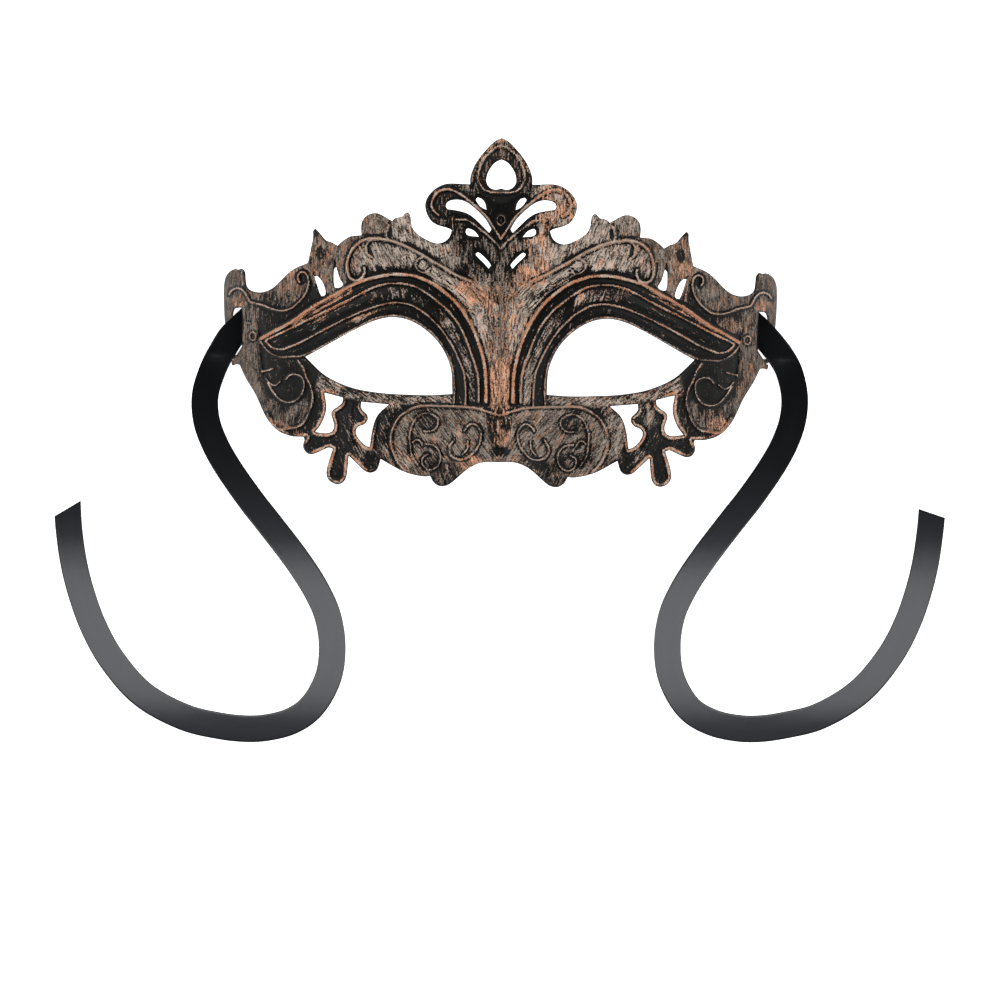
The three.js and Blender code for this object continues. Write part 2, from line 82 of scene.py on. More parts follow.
def smooth_line(points, spacing):
    """Evenly spaced points on a centripetal curve through the given points."""
    knots = np.array(points, float)
    first = 2 * knots[0] - knots[1]
    last = 2 * knots[-1] - knots[-2]
    knots = np.vstack([first, knots, last])
    steps = np.linspace(0, 1, FINE_PARTS + 1)[:, None]
    pieces = []
    for a, b, c, d in zip(knots, knots[1:], knots[2:], knots[3:]):
        ab, bc, cd = (max(np.linalg.norm(q - p), 1e-6) ** 0.5 for p, q in ((a, b), (b, c), (c, d)))
        leave = ((b - a) / ab - (c - a) / (ab + bc) + (c - b) / bc) * bc
        arrive = ((c - b) / bc - (d - b) / (bc + cd) + (d - c) / cd) * bc
        square = 3 * (c - b) - 2 * leave - arrive
        cube = 2 * (b - c) + leave + arrive
        pieces.append((b + leave * steps + square * steps**2 + cube * steps**3)[:-1])
    fine = np.vstack(pieces + [knots[-2:-1]])
    lengths = np.r_[0, np.cumsum(np.linalg.norm(np.diff(fine, axis=0), axis=1))]
    count = max(2, round(lengths[-1] / spacing) + 1)
    even = np.linspace(0, lengths[-1], count)
    return np.stack([np.interp(even, lengths, fine[:, k]) for k in range(fine.shape[1])], axis=1)


def smooth_step(t):
    """0 up to 0, 1 from 1 on, and an even rise between them."""
    t = np.clip(t, 0, 1)
    return t * t * (3 - 2 * t)


arch = smooth_line([(-10, 0), (0, 10), (10, 0)], 1)
print("a trial arch:", len(arch), "points, and its top at", round(float(arch[:, 1].max()), 1), "mm")

# %% [markdown]
# The sheet of the mask is bent like a face: a quarter ellipse round to each temple, a raised nose, and
# a crest and cheeks that lean back. The face could be sculpted, but a height for every place is exact,
# and these are the sizes that the solid was made from. All of them are in millimetres.

# %% Form of the moulding
WALL = 1.8
BROW_HEIGHT = 54.6
SWEEP_REACH = 100              # half the width of the ellipse round the head
SWEEP_DEPTH = 85
SWEEP_END = 0.995              # the ellipse isn't followed past this share of its reach
SWEEP_NARROWING = 4.5          # the temple rims draw in below the slots
NARROWING_TOP = 5
NARROWING_SPAN = 28
NOSE_RISE = 17
NOSE_TOP = 2
NOSE_LENGTH = 52
NOSE_SPREAD = 13
CREST_START = 10
CREST_LEAN = 0.004             # mm of fall for each mm squared above CREST_START
CHEEK_START = -25
CHEEK_LEAN = 0.003
EYE_HOLLOW = 2
EYE_MIDDLE = (40, -14)
EYE_SPREAD = (26, 16)


def form_height(x, y):
    """Height of the bare front of the mask over the table, in mm."""
    reach = SWEEP_REACH - SWEEP_NARROWING * smooth_step((NARROWING_TOP - y) / NARROWING_SPAN)
    sweep = SWEEP_DEPTH * (1 - np.sqrt(1 - np.minimum(np.abs(x) / reach, SWEEP_END) ** 2))
    nose = NOSE_RISE * smooth_step((NOSE_TOP - y) / NOSE_LENGTH) * np.exp(-((x / NOSE_SPREAD) ** 2))
    crest = CREST_LEAN * np.maximum(0, y - CREST_START) ** 2
    cheek = CHEEK_LEAN * np.maximum(0, CHEEK_START - y) ** 2
    beside_eye = ((np.abs(x) - EYE_MIDDLE[0]) / EYE_SPREAD[0]) ** 2
    above_eye = ((y - EYE_MIDDLE[1]) / EYE_SPREAD[1]) ** 2
    hollow = EYE_HOLLOW * np.exp(-beside_eye - above_eye)
    return BROW_HEIGHT - sweep + nose - crest - cheek - hollow


def inner_height(x, y):
    """Height of the inner face, one wall behind the front and square to it."""
    step = 0.1
    across = (form_height(x + step, y) - form_height(x - step, y)) / (2 * step)
    along = (form_height(x, y + step) - form_height(x, y - step)) / (2 * step)
    return form_height(x, y) - WALL * np.sqrt(1 + across**2 + along**2)


print("brow height in mm:", round(float(form_height(0.0, 5.0)), 1))

# %% [markdown]
# Each ribbon is a flat satin tape. It comes out of its slot from inside, slides over the rim of the
# temple down to the table, and lies there in a loose S with a slanting scissor cut at the end. A ribbon
# could be a cloth simulation, but a tape that lies flat on a table only needs its route, so a grid is
# laid along the route and given its thickness.

# %% Ribbon routes
RIBBON_WIDTH = 9.0
RIBBON_THICKNESS = 0.35
SLOT_MIDDLE = 87.6             # mm from the centreline to the middle of the slot
SLOT_DEPTH = 1.5               # the ribbon's middle below the front of the slot
SLOT_TILT = 0.2                # its rise through the slot, from the inner side outwards
FALL_START = (88.5, -14)       # out from the centreline and up: the ribbon falls beyond these
FALL_SPAN = (14.5, 20)
TABLE_GAP = 0.1

RIBBONS = {
    "ribbon_left_satin": {
        "side": -1,
        "node": "ribbon_left",
        "route": [
            (81.6, -0.9), (84.1, -3.3), (86.8, -5.9), (89.7, -8.6), (92.6, -13.2), (95.7, -19.3),
            (98.3, -28.2), (97.8, -36.7), (95, -44.4), (90.9, -51.7), (83, -62.9), (76.4, -71.2),
            (67, -83.3), (60.7, -93), (56.8, -101.7), (55.2, -111.9), (56.5, -122.3), (61.9, -132),
            (68.3, -136.7), (76.9, -139.1), (84.5, -139.5), (94, -138.4), (104.2, -135.9),
            (118.4, -128.3), (129.1, -116.3), (135.1, -105.5), (139, -95.1), (141.6, -85.3),
            (143.4, -73.7), (144.2, -62),
        ],
        "cut": [(139.6, -63.8), (148.2, -69)],
    },
    "ribbon_right_satin": {
        "side": 1,
        "node": "ribbon_right",
        "route": [
            (81.6, -0.9), (84.1, -3.2), (86.8, -5.7), (89.5, -8.4), (92, -11.3), (94.2, -14.3),
            (96.6, -18.7), (98.5, -26.9), (98, -34.8), (95.6, -42.2), (91.8, -49.5), (84.2, -60.8),
            (77.7, -69.2), (68.5, -81.5), (62.2, -91.3), (58.2, -100.3), (56.7, -111), (58.3, -121.8),
            (64.2, -131.6), (71.5, -136), (80.3, -138), (88, -138.1), (97, -136.7), (107.4, -133.9),
            (121, -125.5), (131.1, -113.4), (136.7, -102.7), (140.3, -92.3), (142.6, -82.7),
            (144.2, -71.2), (145, -61),
        ],
        "cut": [(140.4, -64.3), (149.1, -67.2)],
    },
}


def ribbon_height(x, y):
    """Height of the ribbon's middle: level with the slot at the temple, then down to the table."""
    table = RIBBON_THICKNESS / 2 + TABLE_GAP
    slot = form_height(SLOT_MIDDLE, y) - SLOT_DEPTH + SLOT_TILT * (np.abs(x) - SLOT_MIDDLE)
    outwards = (np.abs(x) - FALL_START[0]) / FALL_SPAN[0]
    downwards = np.maximum(0, FALL_START[1] - y) / FALL_SPAN[1]
    return slot + (table - slot) * smooth_step(outwards + downwards)


print("points of the routes:", [len(ribbon["route"]) for ribbon in RIBBONS.values()])

# %% [markdown]
# A grid of small faces becomes the tape. Its long side is the route and its short side the width, so
# the grid's own UV map runs along and across the weave, and the satin can follow it round every bend.
# The end is cut while the tape is still flat, and only then does it get its heights and its thickness.

# %% Shape of a ribbon
ALONG_STEP = 0.8               # mm between the rows of the tape
ACROSS_FACES = 14
CUT_REACH = 20                 # mm of tape before its end that the cut looks at
END_AREA = (130, -90)          # the end of each tape lies further out and further up than this


def end_of(bm, corner, normal):
    """The faces, edges and points of the tape near its cut end, in the same order each run."""
    past = [v for v in bm.verts if np.dot((v.co.x / MM, v.co.y / MM) - corner, normal) > -CUT_REACH]
    past = [v for v in past if abs(v.co.x) > END_AREA[0] * MM and v.co.y > END_AREA[1] * MM]
    faces = dict.fromkeys(face for vert in past for face in vert.link_faces)
    edges = dict.fromkeys(edge for face in faces for edge in face.edges)
    verts = dict.fromkeys(vert for face in faces for vert in face.verts)
    return [*faces, *edges, *verts]


def make_ribbon(name, side, route, cut):
    """A tape along the route, cut at the end, as an object with a UV map in millimetres."""
    line = smooth_line([(side * out, up) for out, up in route], ALONG_STEP)
    heading = np.gradient(line, axis=0)
    heading /= np.linalg.norm(heading, axis=1)[:, None]
    bm = bmesh.new()
    bmesh.ops.create_grid(bm, x_segments=len(line) - 1, y_segments=ACROSS_FACES, size=0.5)
    weave = bm.loops.layers.uv.new("weave")
    for vert in bm.verts:
        row = round((vert.co.x + 0.5) * (len(line) - 1))
        across = vert.co.y * RIBBON_WIDTH
        for loop in vert.link_loops:
            loop[weave].uv = (row * ALONG_STEP, across + RIBBON_WIDTH / 2)
        x = line[row, 0] - heading[row, 1] * across
        y = line[row, 1] + heading[row, 0] * across
        vert.co = (x * MM, y * MM, 0)
    inner, outer = (np.array((side * out, up)) for out, up in cut)
    normal = np.array((outer[1] - inner[1], inner[0] - outer[0])) / np.linalg.norm(outer - inner)
    if normal[1] < 0:
        normal = -normal
    bmesh.ops.bisect_plane(
        bm, geom=end_of(bm, inner, normal), plane_co=(inner[0] * MM, inner[1] * MM, 0),
        plane_no=(normal[0], normal[1], 0), clear_outer=True,
    )
    for vert in bm.verts:
        vert.co.z = float(ribbon_height(vert.co.x / MM, vert.co.y / MM)) * MM
    bmesh.ops.recalc_face_normals(bm, faces=bm.faces)
    bmesh.ops.solidify(bm, geom=bm.faces[:], thickness=RIBBON_THICKNESS * MM)
    bmesh.ops.translate(bm, vec=(0, 0, RIBBON_THICKNESS / 2 * MM), verts=bm.verts)
    lowest = min(v.co.z for v in bm.verts)
    bmesh.ops.translate(bm, vec=(0, 0, max(0, TABLE_GAP * MM - lowest)), verts=bm.verts)
    bmesh.ops.recalc_face_normals(bm, faces=bm.faces)
    mesh = bpy.data.meshes.new(name)
    bm.to_mesh(mesh)
    bm.free()
    mesh.shade_smooth()
    piece = bpy.data.objects.new(name, mesh)
    bpy.context.scene.collection.objects.link(piece)
    return piece


ribbon_pieces = {
    name: make_ribbon(name, ribbon["side"], ribbon["route"], ribbon["cut"])
    for name, ribbon in RIBBONS.items()
}
print("ribbons:", {name: len(piece.data.polygons) for name, piece in ribbon_pieces.items()}, "faces")

# %% [markdown]
# Each ribbon is a limp, loose tape with a bare end. It is attached to the root body, the frame's own
# ribbon is hidden, and its route is traced at an even spacing from the tail behind the slot to the middle
# of the cut.

# %% Attach the ribbons
PATH_STEP = 2                  # mm between the points that the route is traced with

for name, ribbon in RIBBONS.items():
    piece = ribbon_pieces[name]
    side = ribbon["side"]
    inner, outer = (np.array(corner) for corner in ribbon["cut"])
    end = (inner + outer) / 2
    line = smooth_line(ribbon["route"], PATH_STEP)
    line = line[: int(np.argmin(np.hypot(*(line - end).T))) + 1]
    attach(piece, "root")
    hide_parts(ribbon["node"])

# %% [markdown]
# The outline of the mask is a maze of lobes and openings. It could be listed again by hand, but then the
# sheet and the solid could drift apart, so it is read off the solid: the edges where its upright walls
# meet its underside are closed loops.

# %% Rim of the solid
WELD = 2e-6                    # metres within which points of the solid are one
UPRIGHT = 0.02                 # most that the normal of an upright wall leans
UNDERSIDE = -0.05              # the normal of an underside points further down than this
LEAST_POINTS = 4               # a shorter loop is a stray edge


def rim_loops(node):
    """Closed loops of flat points in mm, where the walls of the solid meet its underside."""
    bm = bmesh.new()
    bm.from_mesh(node.data)
    bmesh.ops.remove_doubles(bm, verts=bm.verts, dist=WELD)
    bmesh.ops.dissolve_degenerate(bm, edges=bm.edges, dist=WELD)
    bm.normal_update()
    follow = {}
    for edge in bm.edges:
        low, high = sorted(face.normal.z for face in edge.link_faces)
        on_table = max(vert.co.z for vert in edge.verts) < 0.01 * MM
        if low < UNDERSIDE and (abs(high) < UPRIGHT or on_table and high > 0):
            for vert in edge.verts:
                follow.setdefault(vert.index, []).append(edge.other_vert(vert).index)
    places = {v.index: (v.co.x / MM, v.co.y / MM) for v in bm.verts}
    bm.free()
    loops = []
    unused = set(follow)
    while unused:
        start = unused.pop()
        loop = [start]
        while True:
            onward = [n for n in follow[loop[-1]] if n in unused]
            if not onward:
                break
            loop.append(onward[0])
            unused.discard(onward[0])
        loops.append(np.array([places[index] for index in loop]))
    return loops


rims = [loop for loop in rim_loops(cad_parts["mask"]) if len(loop) >= LEAST_POINTS]
print("rims:", len(rims), "with", sum(len(loop) for loop in rims), "points")

# %% [markdown]
# The solid's curves are chords. They are rounded into smooth curves again, except at real corners, such
# as the tip of a leaf, where the line turns too sharply to be a curve.

# %% Rounded outline
CORNER_TURN = math.radians(33)
STRAIGHT_TURN = math.radians(1.5)
OUTLINE_SPACING = 0.12


def turns(loop):
    """Turn at each point of a closed loop."""
    before = loop - np.roll(loop, 1, axis=0)
    after = np.roll(loop, -1, axis=0) - loop
    cross = before[:, 0] * after[:, 1] - before[:, 1] * after[:, 0]
    return np.abs(np.arctan2(cross, (before * after).sum(axis=1)))


def rounded(loop):
    """The loop with its chords turned back into curves between its corners."""
    loop = loop[turns(loop) > STRAIGHT_TURN]
    corners = np.flatnonzero(turns(loop) > CORNER_TURN)
    if len(corners) == 0:
        closed = np.vstack([loop[-2:], loop, loop[:3]])
        line = smooth_line(closed, OUTLINE_SPACING)
        first = int(np.argmin(np.hypot(*(line - loop[0]).T)))
        ends = np.hypot(*(line - loop[0]).T)
        ends[: first + len(line) // 3] = np.inf
        return line[first : int(np.argmin(ends))], []
    loop = np.roll(loop, -corners[0], axis=0)
    marks = [*(corners - corners[0]), len(loop)]
    closed = np.vstack([loop, loop[:1]])
    parts = [smooth_line(closed[a : b + 1], OUTLINE_SPACING)[:-1] for a, b in zip(marks, marks[1:])]
    return np.vstack(parts), [closed[mark] for mark in marks[:-1]]


outline = []
outline_corners = []
for rim in rims:
    curve, corner_points = rounded(rim)
    outline.append(curve)
    outline_corners.extend(corner_points)
outline_length = sum(len(curve) for curve in outline) * OUTLINE_SPACING
print("outline loops:", len(outline), "total length in mm:", round(outline_length))

# %% [markdown]
# The moulder's raised lines give the mask its drawing: bands round the eyes, leaves on the brows,
# scrolls on the temples and spirals below. Each is a list of points on one half, out from the middle
# and up, because the other half is its mirror image. A line could be a tube laid on the surface, but a
# moulded line grows out of the sheet, so the lines are kept as data that lifts the surface.

# %% Raised lines round the eyes and on the brows
LINE_SPACING = 0.15
RAISED = {}


def raise_line(name, width, height, rub, tint, points):
    """Keep a raised line: width and height in mm, how much paint its top takes, and how copper it is."""
    line = smooth_line(points, LINE_SPACING)
    RAISED[name] = {"half": width / 2, "height": height, "rub": rub, "tint": tint, "line": line}


raise_line("brow_band", 1.9, 1.0, 1.0, 0.8, [
    (4.5, -30), (4.5, -25), (4.8, -20), (6, -14), (8.5, -7), (12, -0.5), (15, 3.3), (18, 6), (21, 8.3),
    (24, 10), (27, 11.2), (30, 12), (34, 12.3), (38, 12), (42, 11.2), (46, 10), (50, 8.2), (54, 6),
    (62, 1.5), (70, -4), (74, -6.2), (79.8, -9.3)])
raise_line("brow_band_inner", 1.3, 0.9, 0.9, 0.55, [
    (7, -30), (7, -25), (7.5, -20), (9.5, -14), (11, -10), (13, -5.5), (15, -2.5), (18, 1), (20.5, 3),
    (23, 5), (26, 7), (29, 8.5), (33, 9.2), (37, 9.2), (41, 8.3), (45, 6.6), (50, 3.9), (60, -1),
    (70, -6), (75, -8.3), (78, -9.8)])
raise_line("channel_line", 1.1, 0.9, 0.9, 0.45, [
    (11.2, -31), (11.4, -25), (12, -20), (13.2, -17), (15, -13), (17, -9.5), (19.5, -6), (22, -3.3),
    (24.5, -1), (27, 0.7), (30, 2.2), (33, 2.8), (36, 2.8), (40, 2), (44, 0.7), (50, -1.9), (60, -7),
    (65, -9.8), (70, -12), (73, -12.9), (76, -12.2), (78, -10.3)])
raise_line("eye_lip", 1.1, 0.7, 0.75, 0.45, [
    (15.1, -30.5), (15, -25), (15.3, -21), (16.1, -17.4), (17.3, -14.2), (19.2, -11), (21.5, -8.2),
    (24.6, -5.5), (27.8, -3.5), (30.9, -2.1), (34, -1.5), (37.1, -1.5), (40.2, -2), (43.3, -3.1),
    (46.3, -4.7), (55, -9.4), (66, -15), (70, -15.3), (73, -15.4), (76, -14.3), (78.3, -12.5),
    (79.8, -10.3)])
raise_line("brow_leaf", 1.3, 1.1, 1.0, 0.4, [
    (10, 10.2), (15, 12.3), (20, 15.2), (23, 16.9), (26, 18.8), (30, 20.9), (34, 22.6), (38, 23.7),
    (42, 24.1), (45, 23.8), (47.5, 22.5), (49.4, 20.5), (50.6, 18), (51.1, 15.5), (50.9, 13), (50, 11),
    (48.3, 10.2), (46.5, 10.8), (45.3, 12.5), (45.3, 14.3)])
raise_line("brow_hook", 1.0, 0.8, 0.9, 0.35, [
    (42.6, 24.1), (44.1, 22.9), (44.8, 21), (44.4, 19.3), (43, 18)])
raise_line("brow_loop", 0.9, 0.8, 0.9, 0.35, [
    (25.3, 18.4), (27.4, 17.3), (28.3, 15.6), (27.6, 14), (26.1, 13), (24.3, 13.2), (23.6, 14.3)])
raise_line("brow_tail", 0.8, 0.6, 0.8, 0.05, [(24.6, 12.6), (20, 10), (15.7, 8)])
raise_line("brow_tail_low", 0.8, 0.6, 0.75, 0.05, [(22.6, 10.6), (18.6, 8.3), (15, 6), (12, 3.6)])
raise_line("brow_crease", 0.8, 0.4, 0.6, 0.8, [(10, 9.7), (7, 7.6), (4.3, 5.8), (1.5, 3.8)])
raise_line("hump_line", 1.0, 0.8, 0.85, 0.4, [(37.2, 28.8), (37.9, 27), (38.1, 25.4), (37.6, 24)])
print("raised lines so far:", len(RAISED))

# %% [markdown]
# Over the brows stands the crest: a drop in a ring, two curls that spring from the middle, and a vee
# with a small boss in it. They could be one long line, but on the mask each has a width, a height and a
# share of paint of its own, so each is given by itself.

# %% Raised lines of the crest
raise_line("crest_ring", 1.2, 0.9, 0.8, 0.35, [
    (0, 55.4), (2, 54.6), (4, 53), (6, 50.5), (7.3, 47.5), (7.8, 45), (7.2, 42.8), (5.6, 40.7),
    (3.5, 39.8), (0, 39.7)])
raise_line("crest_curl", 1.2, 1.0, 1.0, 0.45, [
    (0, 24.3), (2, 27.4), (4.2, 30.8), (6.6, 33.5), (9.3, 35.9), (13.6, 39.1), (17.6, 40.7), (20.8, 39.9),
    (22.8, 37.3), (23.2, 35.3), (22.4, 33.6), (20.6, 32)])
raise_line("crest_vee", 1.1, 0.9, 0.9, 0.3, [
    (0, 21.1), (2.6, 23.9), (5.6, 26.5), (8.6, 28.8), (11.4, 30.5), (15, 30.5)])
raise_line("crest_side", 0.7, 0.6, 0.75, 0.5, [(16, 31.6), (16.1, 29), (15.7, 26.4)])
raise_line("crest_streak", 0.7, 0.4, 0.6, 0.7, [(9.9, 23.4), (9.7, 20), (9.8, 16.8)])
raise_line("boss", 0.8, 0.8, 0.8, 0.2, [(0, 32.3), (0.9, 31.8), (1.35, 30.7), (1, 29.5), (0, 28.7)])
print("raised lines so far:", len(RAISED))

# %% [markdown]
# A long scroll crosses each temple and ends on the ear, two fine lines border the ribbon's slot, and a
# spiral fills the cheek. A formula for the spirals would be too even for hand work, so their points are
# placed one by one. These lines are thin and low, as if drawn with a pen.

# %% Raised lines of the temples and cheeks
raise_line("temple_scroll", 0.95, 0.95, 0.95, 0.5, [
    (66.7, 9.4), (67.5, 10.8), (67.1, 12.3), (65.7, 12.9), (64.5, 12), (64, 10.4), (64, 8.6), (65, 5.5),
    (67.5, 2.5), (70, 0.6), (73, 0), (76, 0.6), (79, 1.8), (82, 2.5), (83.5, 3), (84.5, 4.8), (86, 6.9),
    (87.8, 7.5), (89.5, 6.8), (90.5, 5.5)])
raise_line("slot_edge", 0.9, 0.7, 0.42, 0.5, [
    (84.4, -0.6), (83, -0.4), (82.4, -1.4), (81.4, -4.8), (80.4, -9.1), (80, -14.5), (79.2, -21)])
raise_line("slot_rim", 0.8, 0.5, 0.5, 0.3, [(85.4, 1.8), (85.2, -3), (85.3, -9), (85, -14), (84.3, -20)])
raise_line("rim_ring", 0.7, 0.7, 0.95, 0.3, [
    (82.5, -7.1), (83.3, -7.5), (83.6, -8.5), (83.3, -9.5), (82.5, -9.9), (81.7, -9.5), (81.4, -8.5),
    (81.7, -7.5), (82.5, -7.1)])
raise_line("rim_bar", 0.9, 0.6, 0.7, 0.5, [(83.4, -4.2), (84.6, -4.1)])
raise_line("ear_notch", 0.8, 0.5, 0.6, 0.4, [(86.4, 13.2), (86.1, 10.6), (85.9, 8.4)])
raise_line("cheek_rim", 1.2, 0.9, 0.8, 0.45, [
    (67.3, -16.5), (65.5, -19), (64.5, -22), (63, -25), (62.3, -28), (62.6, -31.3), (63.6, -34.5),
    (65, -37), (67, -38.6), (70, -39.2), (74, -39.3), (77.3, -34.5)])
raise_line("cheek_spiral", 0.9, 0.8, 0.85, 0.1, [
    (71.3, -23), (70, -21.5), (68, -21.2), (66, -22), (65.1, -24.3), (65.8, -27.5), (67.8, -29.8),
    (70.4, -30.5), (73, -29.7), (75.3, -27.3), (77.5, -24)])
raise_line("cheek_curl", 0.85, 0.7, 0.8, 0.1, [(73, -23.5), (74.8, -24.9), (76.5, -24.3), (78, -22.5)])
raise_line("cheek_dash", 0.75, 0.6, 0.85, 0.4, [(75.5, -19.3), (77.5, -19.9), (79.2, -20.2)])
print("raised lines so far:", len(RAISED))

# %% [markdown]
# The nose piece is a cartouche with a border and three spirals on each side. Four short rays, which a
# loop makes, fan out on each tab below it, and the leaf pendants have a broad rib along their middle.

# %% Raised lines of the nose piece and the pendants
raise_line("cartouche_rim", 1.15, 0.9, 0.9, 0.5, [
    (0, -34.4), (4.5, -33), (8, -32), (12, -31.6), (20, -31.4), (24, -31.3), (28, -31.8), (31, -33.3),
    (33.2, -35), (35, -38), (36, -41), (36, -44), (35, -47.5), (33.5, -50.3), (31, -53)])
raise_line("outer_spiral", 0.85, 0.8, 0.9, 0.3, [
    (25, -39.7), (23, -39.8), (21.2, -38.8), (20.3, -37), (20.6, -35.5), (22.5, -34.2), (25, -33.9),
    (27.5, -35.3), (29, -38), (29.7, -40.5), (29.6, -44), (28.9, -48), (27, -51)])
raise_line("lower_spiral", 0.85, 0.8, 0.9, 0.25, [
    (23.6, -47.4), (25.4, -48.6), (25.4, -50.8), (23.4, -52.6), (20.9, -51.8), (19.5, -49.5),
    (19.7, -46.8), (21.6, -44.6), (24.5, -44)])
raise_line("inner_spiral", 0.85, 0.8, 1.0, 0.35, [
    (11.6, -39.5), (10.5, -38), (9, -37.2), (7.2, -38), (6, -40.5), (6.3, -43), (7.4, -45.5), (9, -47.3),
    (11, -48.8), (13, -49.1), (15.5, -48.2), (16.6, -46), (16, -44), (15, -42.5)])
raise_line("inner_arc", 0.8, 0.6, 0.9, 0.3, [(10.4, -43), (10.5, -45.3), (12, -47.4)])
raise_line("small_arc", 0.8, 0.6, 0.9, 0.3, [(25.5, -44.5), (26.3, -43.1), (27.7, -42.7), (28.8, -43.6)])
raise_line("nose_lens", 0.75, 0.45, 0.66, 0.6, [
    (0.4, -31), (1.6, -34), (2.4, -37.4), (1.6, -40.6), (0.4, -42)])
raise_line("nose_crease", 0.8, 0.6, 0.6, 0.3, [(4.6, -34), (4.2, -38), (3.4, -42), (1.2, -45)])
for ray, foot in enumerate([(13.8, -54.2), (16, -56.4), (18.4, -57.2), (20.6, -56)]):
    raise_line(f"tab_ray_{ray}", 0.9, 0.5, 0.5, 0.3, [(17.2, -50.6), foot])
raise_line("pendant_rib", 1.5, 0.9, 0.5, 0.1, [(49.2, -30.5), (49.6, -36), (49.8, -41.5)])
raise_line("pendant_inner_rib", 1.6, 0.8, 0.5, 0.1, [
    (50, -42), (47.8, -45.8), (45, -49.2), (42.8, -51.2)])

all_lines = np.vstack([raised["line"] for raised in RAISED.values()])
lines_length = round(len(all_lines) * LINE_SPACING)
print("raised lines:", len(RAISED), "with a total length in mm of", lines_length)

# %% [markdown]
# Two questions come up for every point of the sheet: how far is it from a line, and does it lie inside
# a closed line? A search tree answers the first. For the second, a straight path from the point out to
# the side crosses the border an odd number of times only if the point is inside.

# %% Nearest points and insides
def tree_of(points):
    """A search tree over flat points."""
    tree = kdtree.KDTree(len(points))
    for index, (x, y) in enumerate(points):
        tree.insert((x, y, 0), index)
    tree.balance()
    return tree


def inside(places, loops):
    """Whether each place lies inside the closed loops, by counting the borders beside it."""
    order = np.argsort(places[:, 1])
    x, y = places[order].T
    odd = np.zeros(len(order), bool)
    for loop in loops:
        for (ax, ay), (bx, by) in zip(loop, np.roll(loop, -1, axis=0)):
            low, high = np.searchsorted(y, (min(ay, by), max(ay, by)))
            if low < high:
                odd[low:high] ^= x[low:high] > ax + (y[low:high] - ay) / (by - ay) * (bx - ax)
    result = np.empty_like(odd)
    result[order] = odd
    return result


def flat_places(verts):
    return np.array([vert.co.xy for vert in verts])


outline_points = np.vstack(outline)
outline_tree = tree_of(outline_points)
left_eye = np.array([(-36.0, -14.0)])
print("the middle of the left eye is plastic:", bool(inside(left_eye, outline)[0]))

# %% [markdown]
# The sheet starts as a plain grid. A grid is easy to bend and to lift evenly, but its border is made
# of steps. So wherever a grid edge crosses the outline, the nearer end is moved onto it, squares that
# are crossed corner to corner are split, and the waste is deleted, as a fret saw would do. A boolean
# with the outline would leave slivers along the border, which the relief would crease.

# %% Cut the sheet to its outline
SHEET_STEP = 0.79            # mm between the points of the coarse sheet
SHEET_COLUMNS = 235          # odd, so that the middle line runs through squares
SHEET_ROWS = 149
INSIDE, ON_LINE, OUTSIDE = 1, 0, -1
SMOOTHING_ROUNDS = 4


def cut_sheet():
    """The grid, cut to the outline, in millimetres."""
    bm = bmesh.new()
    bmesh.ops.create_grid(bm, x_segments=SHEET_COLUMNS, y_segments=SHEET_ROWS, size=0.5)
    size = (SHEET_COLUMNS * SHEET_STEP, SHEET_ROWS * SHEET_STEP, 1)
    bmesh.ops.scale(bm, vec=size, verts=bm.verts)
    bm.verts.ensure_lookup_table()
    nearest = [outline_tree.find(vert.co) for vert in bm.verts]
    within = inside(flat_places(bm.verts), outline)
    state = [INSIDE if flag else OUTSIDE for flag in within]
    crossed = [edge for edge in bm.edges if within[edge.verts[0].index] != within[edge.verts[1].index]]
    ends = [sorted((nearest[v.index][2], v.index) for v in edge.verts) for edge in crossed]
    for (_, near), (_, far) in sorted(ends):
        if state[near] != ON_LINE and state[far] != ON_LINE:
            state[near] = ON_LINE
    for face in bm.faces[:]:
        states = [state[v.index] for v in face.verts]
        if sorted(states) == [OUTSIDE, ON_LINE, ON_LINE, INSIDE]:
            border = [v for v in face.verts if state[v.index] == ON_LINE]
            if abs(states.index(INSIDE) - states.index(OUTSIDE)) == 2:
                bmesh.utils.face_split(face, *border)
    waste = [face for face in bm.faces if any(state[v.index] == OUTSIDE for v in face.verts)]
    lying = [face for face in bm.faces if all(state[v.index] == ON_LINE for v in face.verts)]
    if lying:
        centres = np.array([face.calc_center_median().xy for face in lying])
        waste += [face for face, keep in zip(lying, inside(centres, outline)) if not keep]
    for vert in bm.verts:
        if state[vert.index] == ON_LINE:
            vert.co = nearest[vert.index][0]
    bmesh.ops.delete(bm, geom=waste, context="FACES")
    border = [vert for vert in bm.verts if vert.is_boundary]
    for vert in border:
        vert.co = outline_tree.find(vert.co)[0]
    border_tree = tree_of(flat_places(border))
    for x, y in outline_corners:
        _, index, distance = border_tree.find((x, y, 0))
        if distance < SHEET_STEP:
            border[index].co = (x, y, 0)
    rings = {v for vert in border for e in vert.link_edges for v in e.verts} - set(border)
    for _ in range(SMOOTHING_ROUNDS):
        bmesh.ops.smooth_vert(bm, verts=list(rings), factor=0.5, use_axis_x=True, use_axis_y=True)
    return bm


sheet = cut_sheet()
print("coarse sheet:", len(sheet.faces), "faces")

# %% [markdown]
# Extruding the whole sheet gives the back and the walls in one step. Only the front needs fine faces,
# so only the front is subdivided. Its points that lie close to a raised line are moved onto the line,
# so that the top of the line is a clean row of edges.

# %% Give the sheet its back and a fine front
PULL_TO_LINE = 0.21            # mm within which a point is moved onto a raised line
BACK_LEVEL = -1                # the back waits here until its height is worked out
FRONT_ABOVE = -0.5

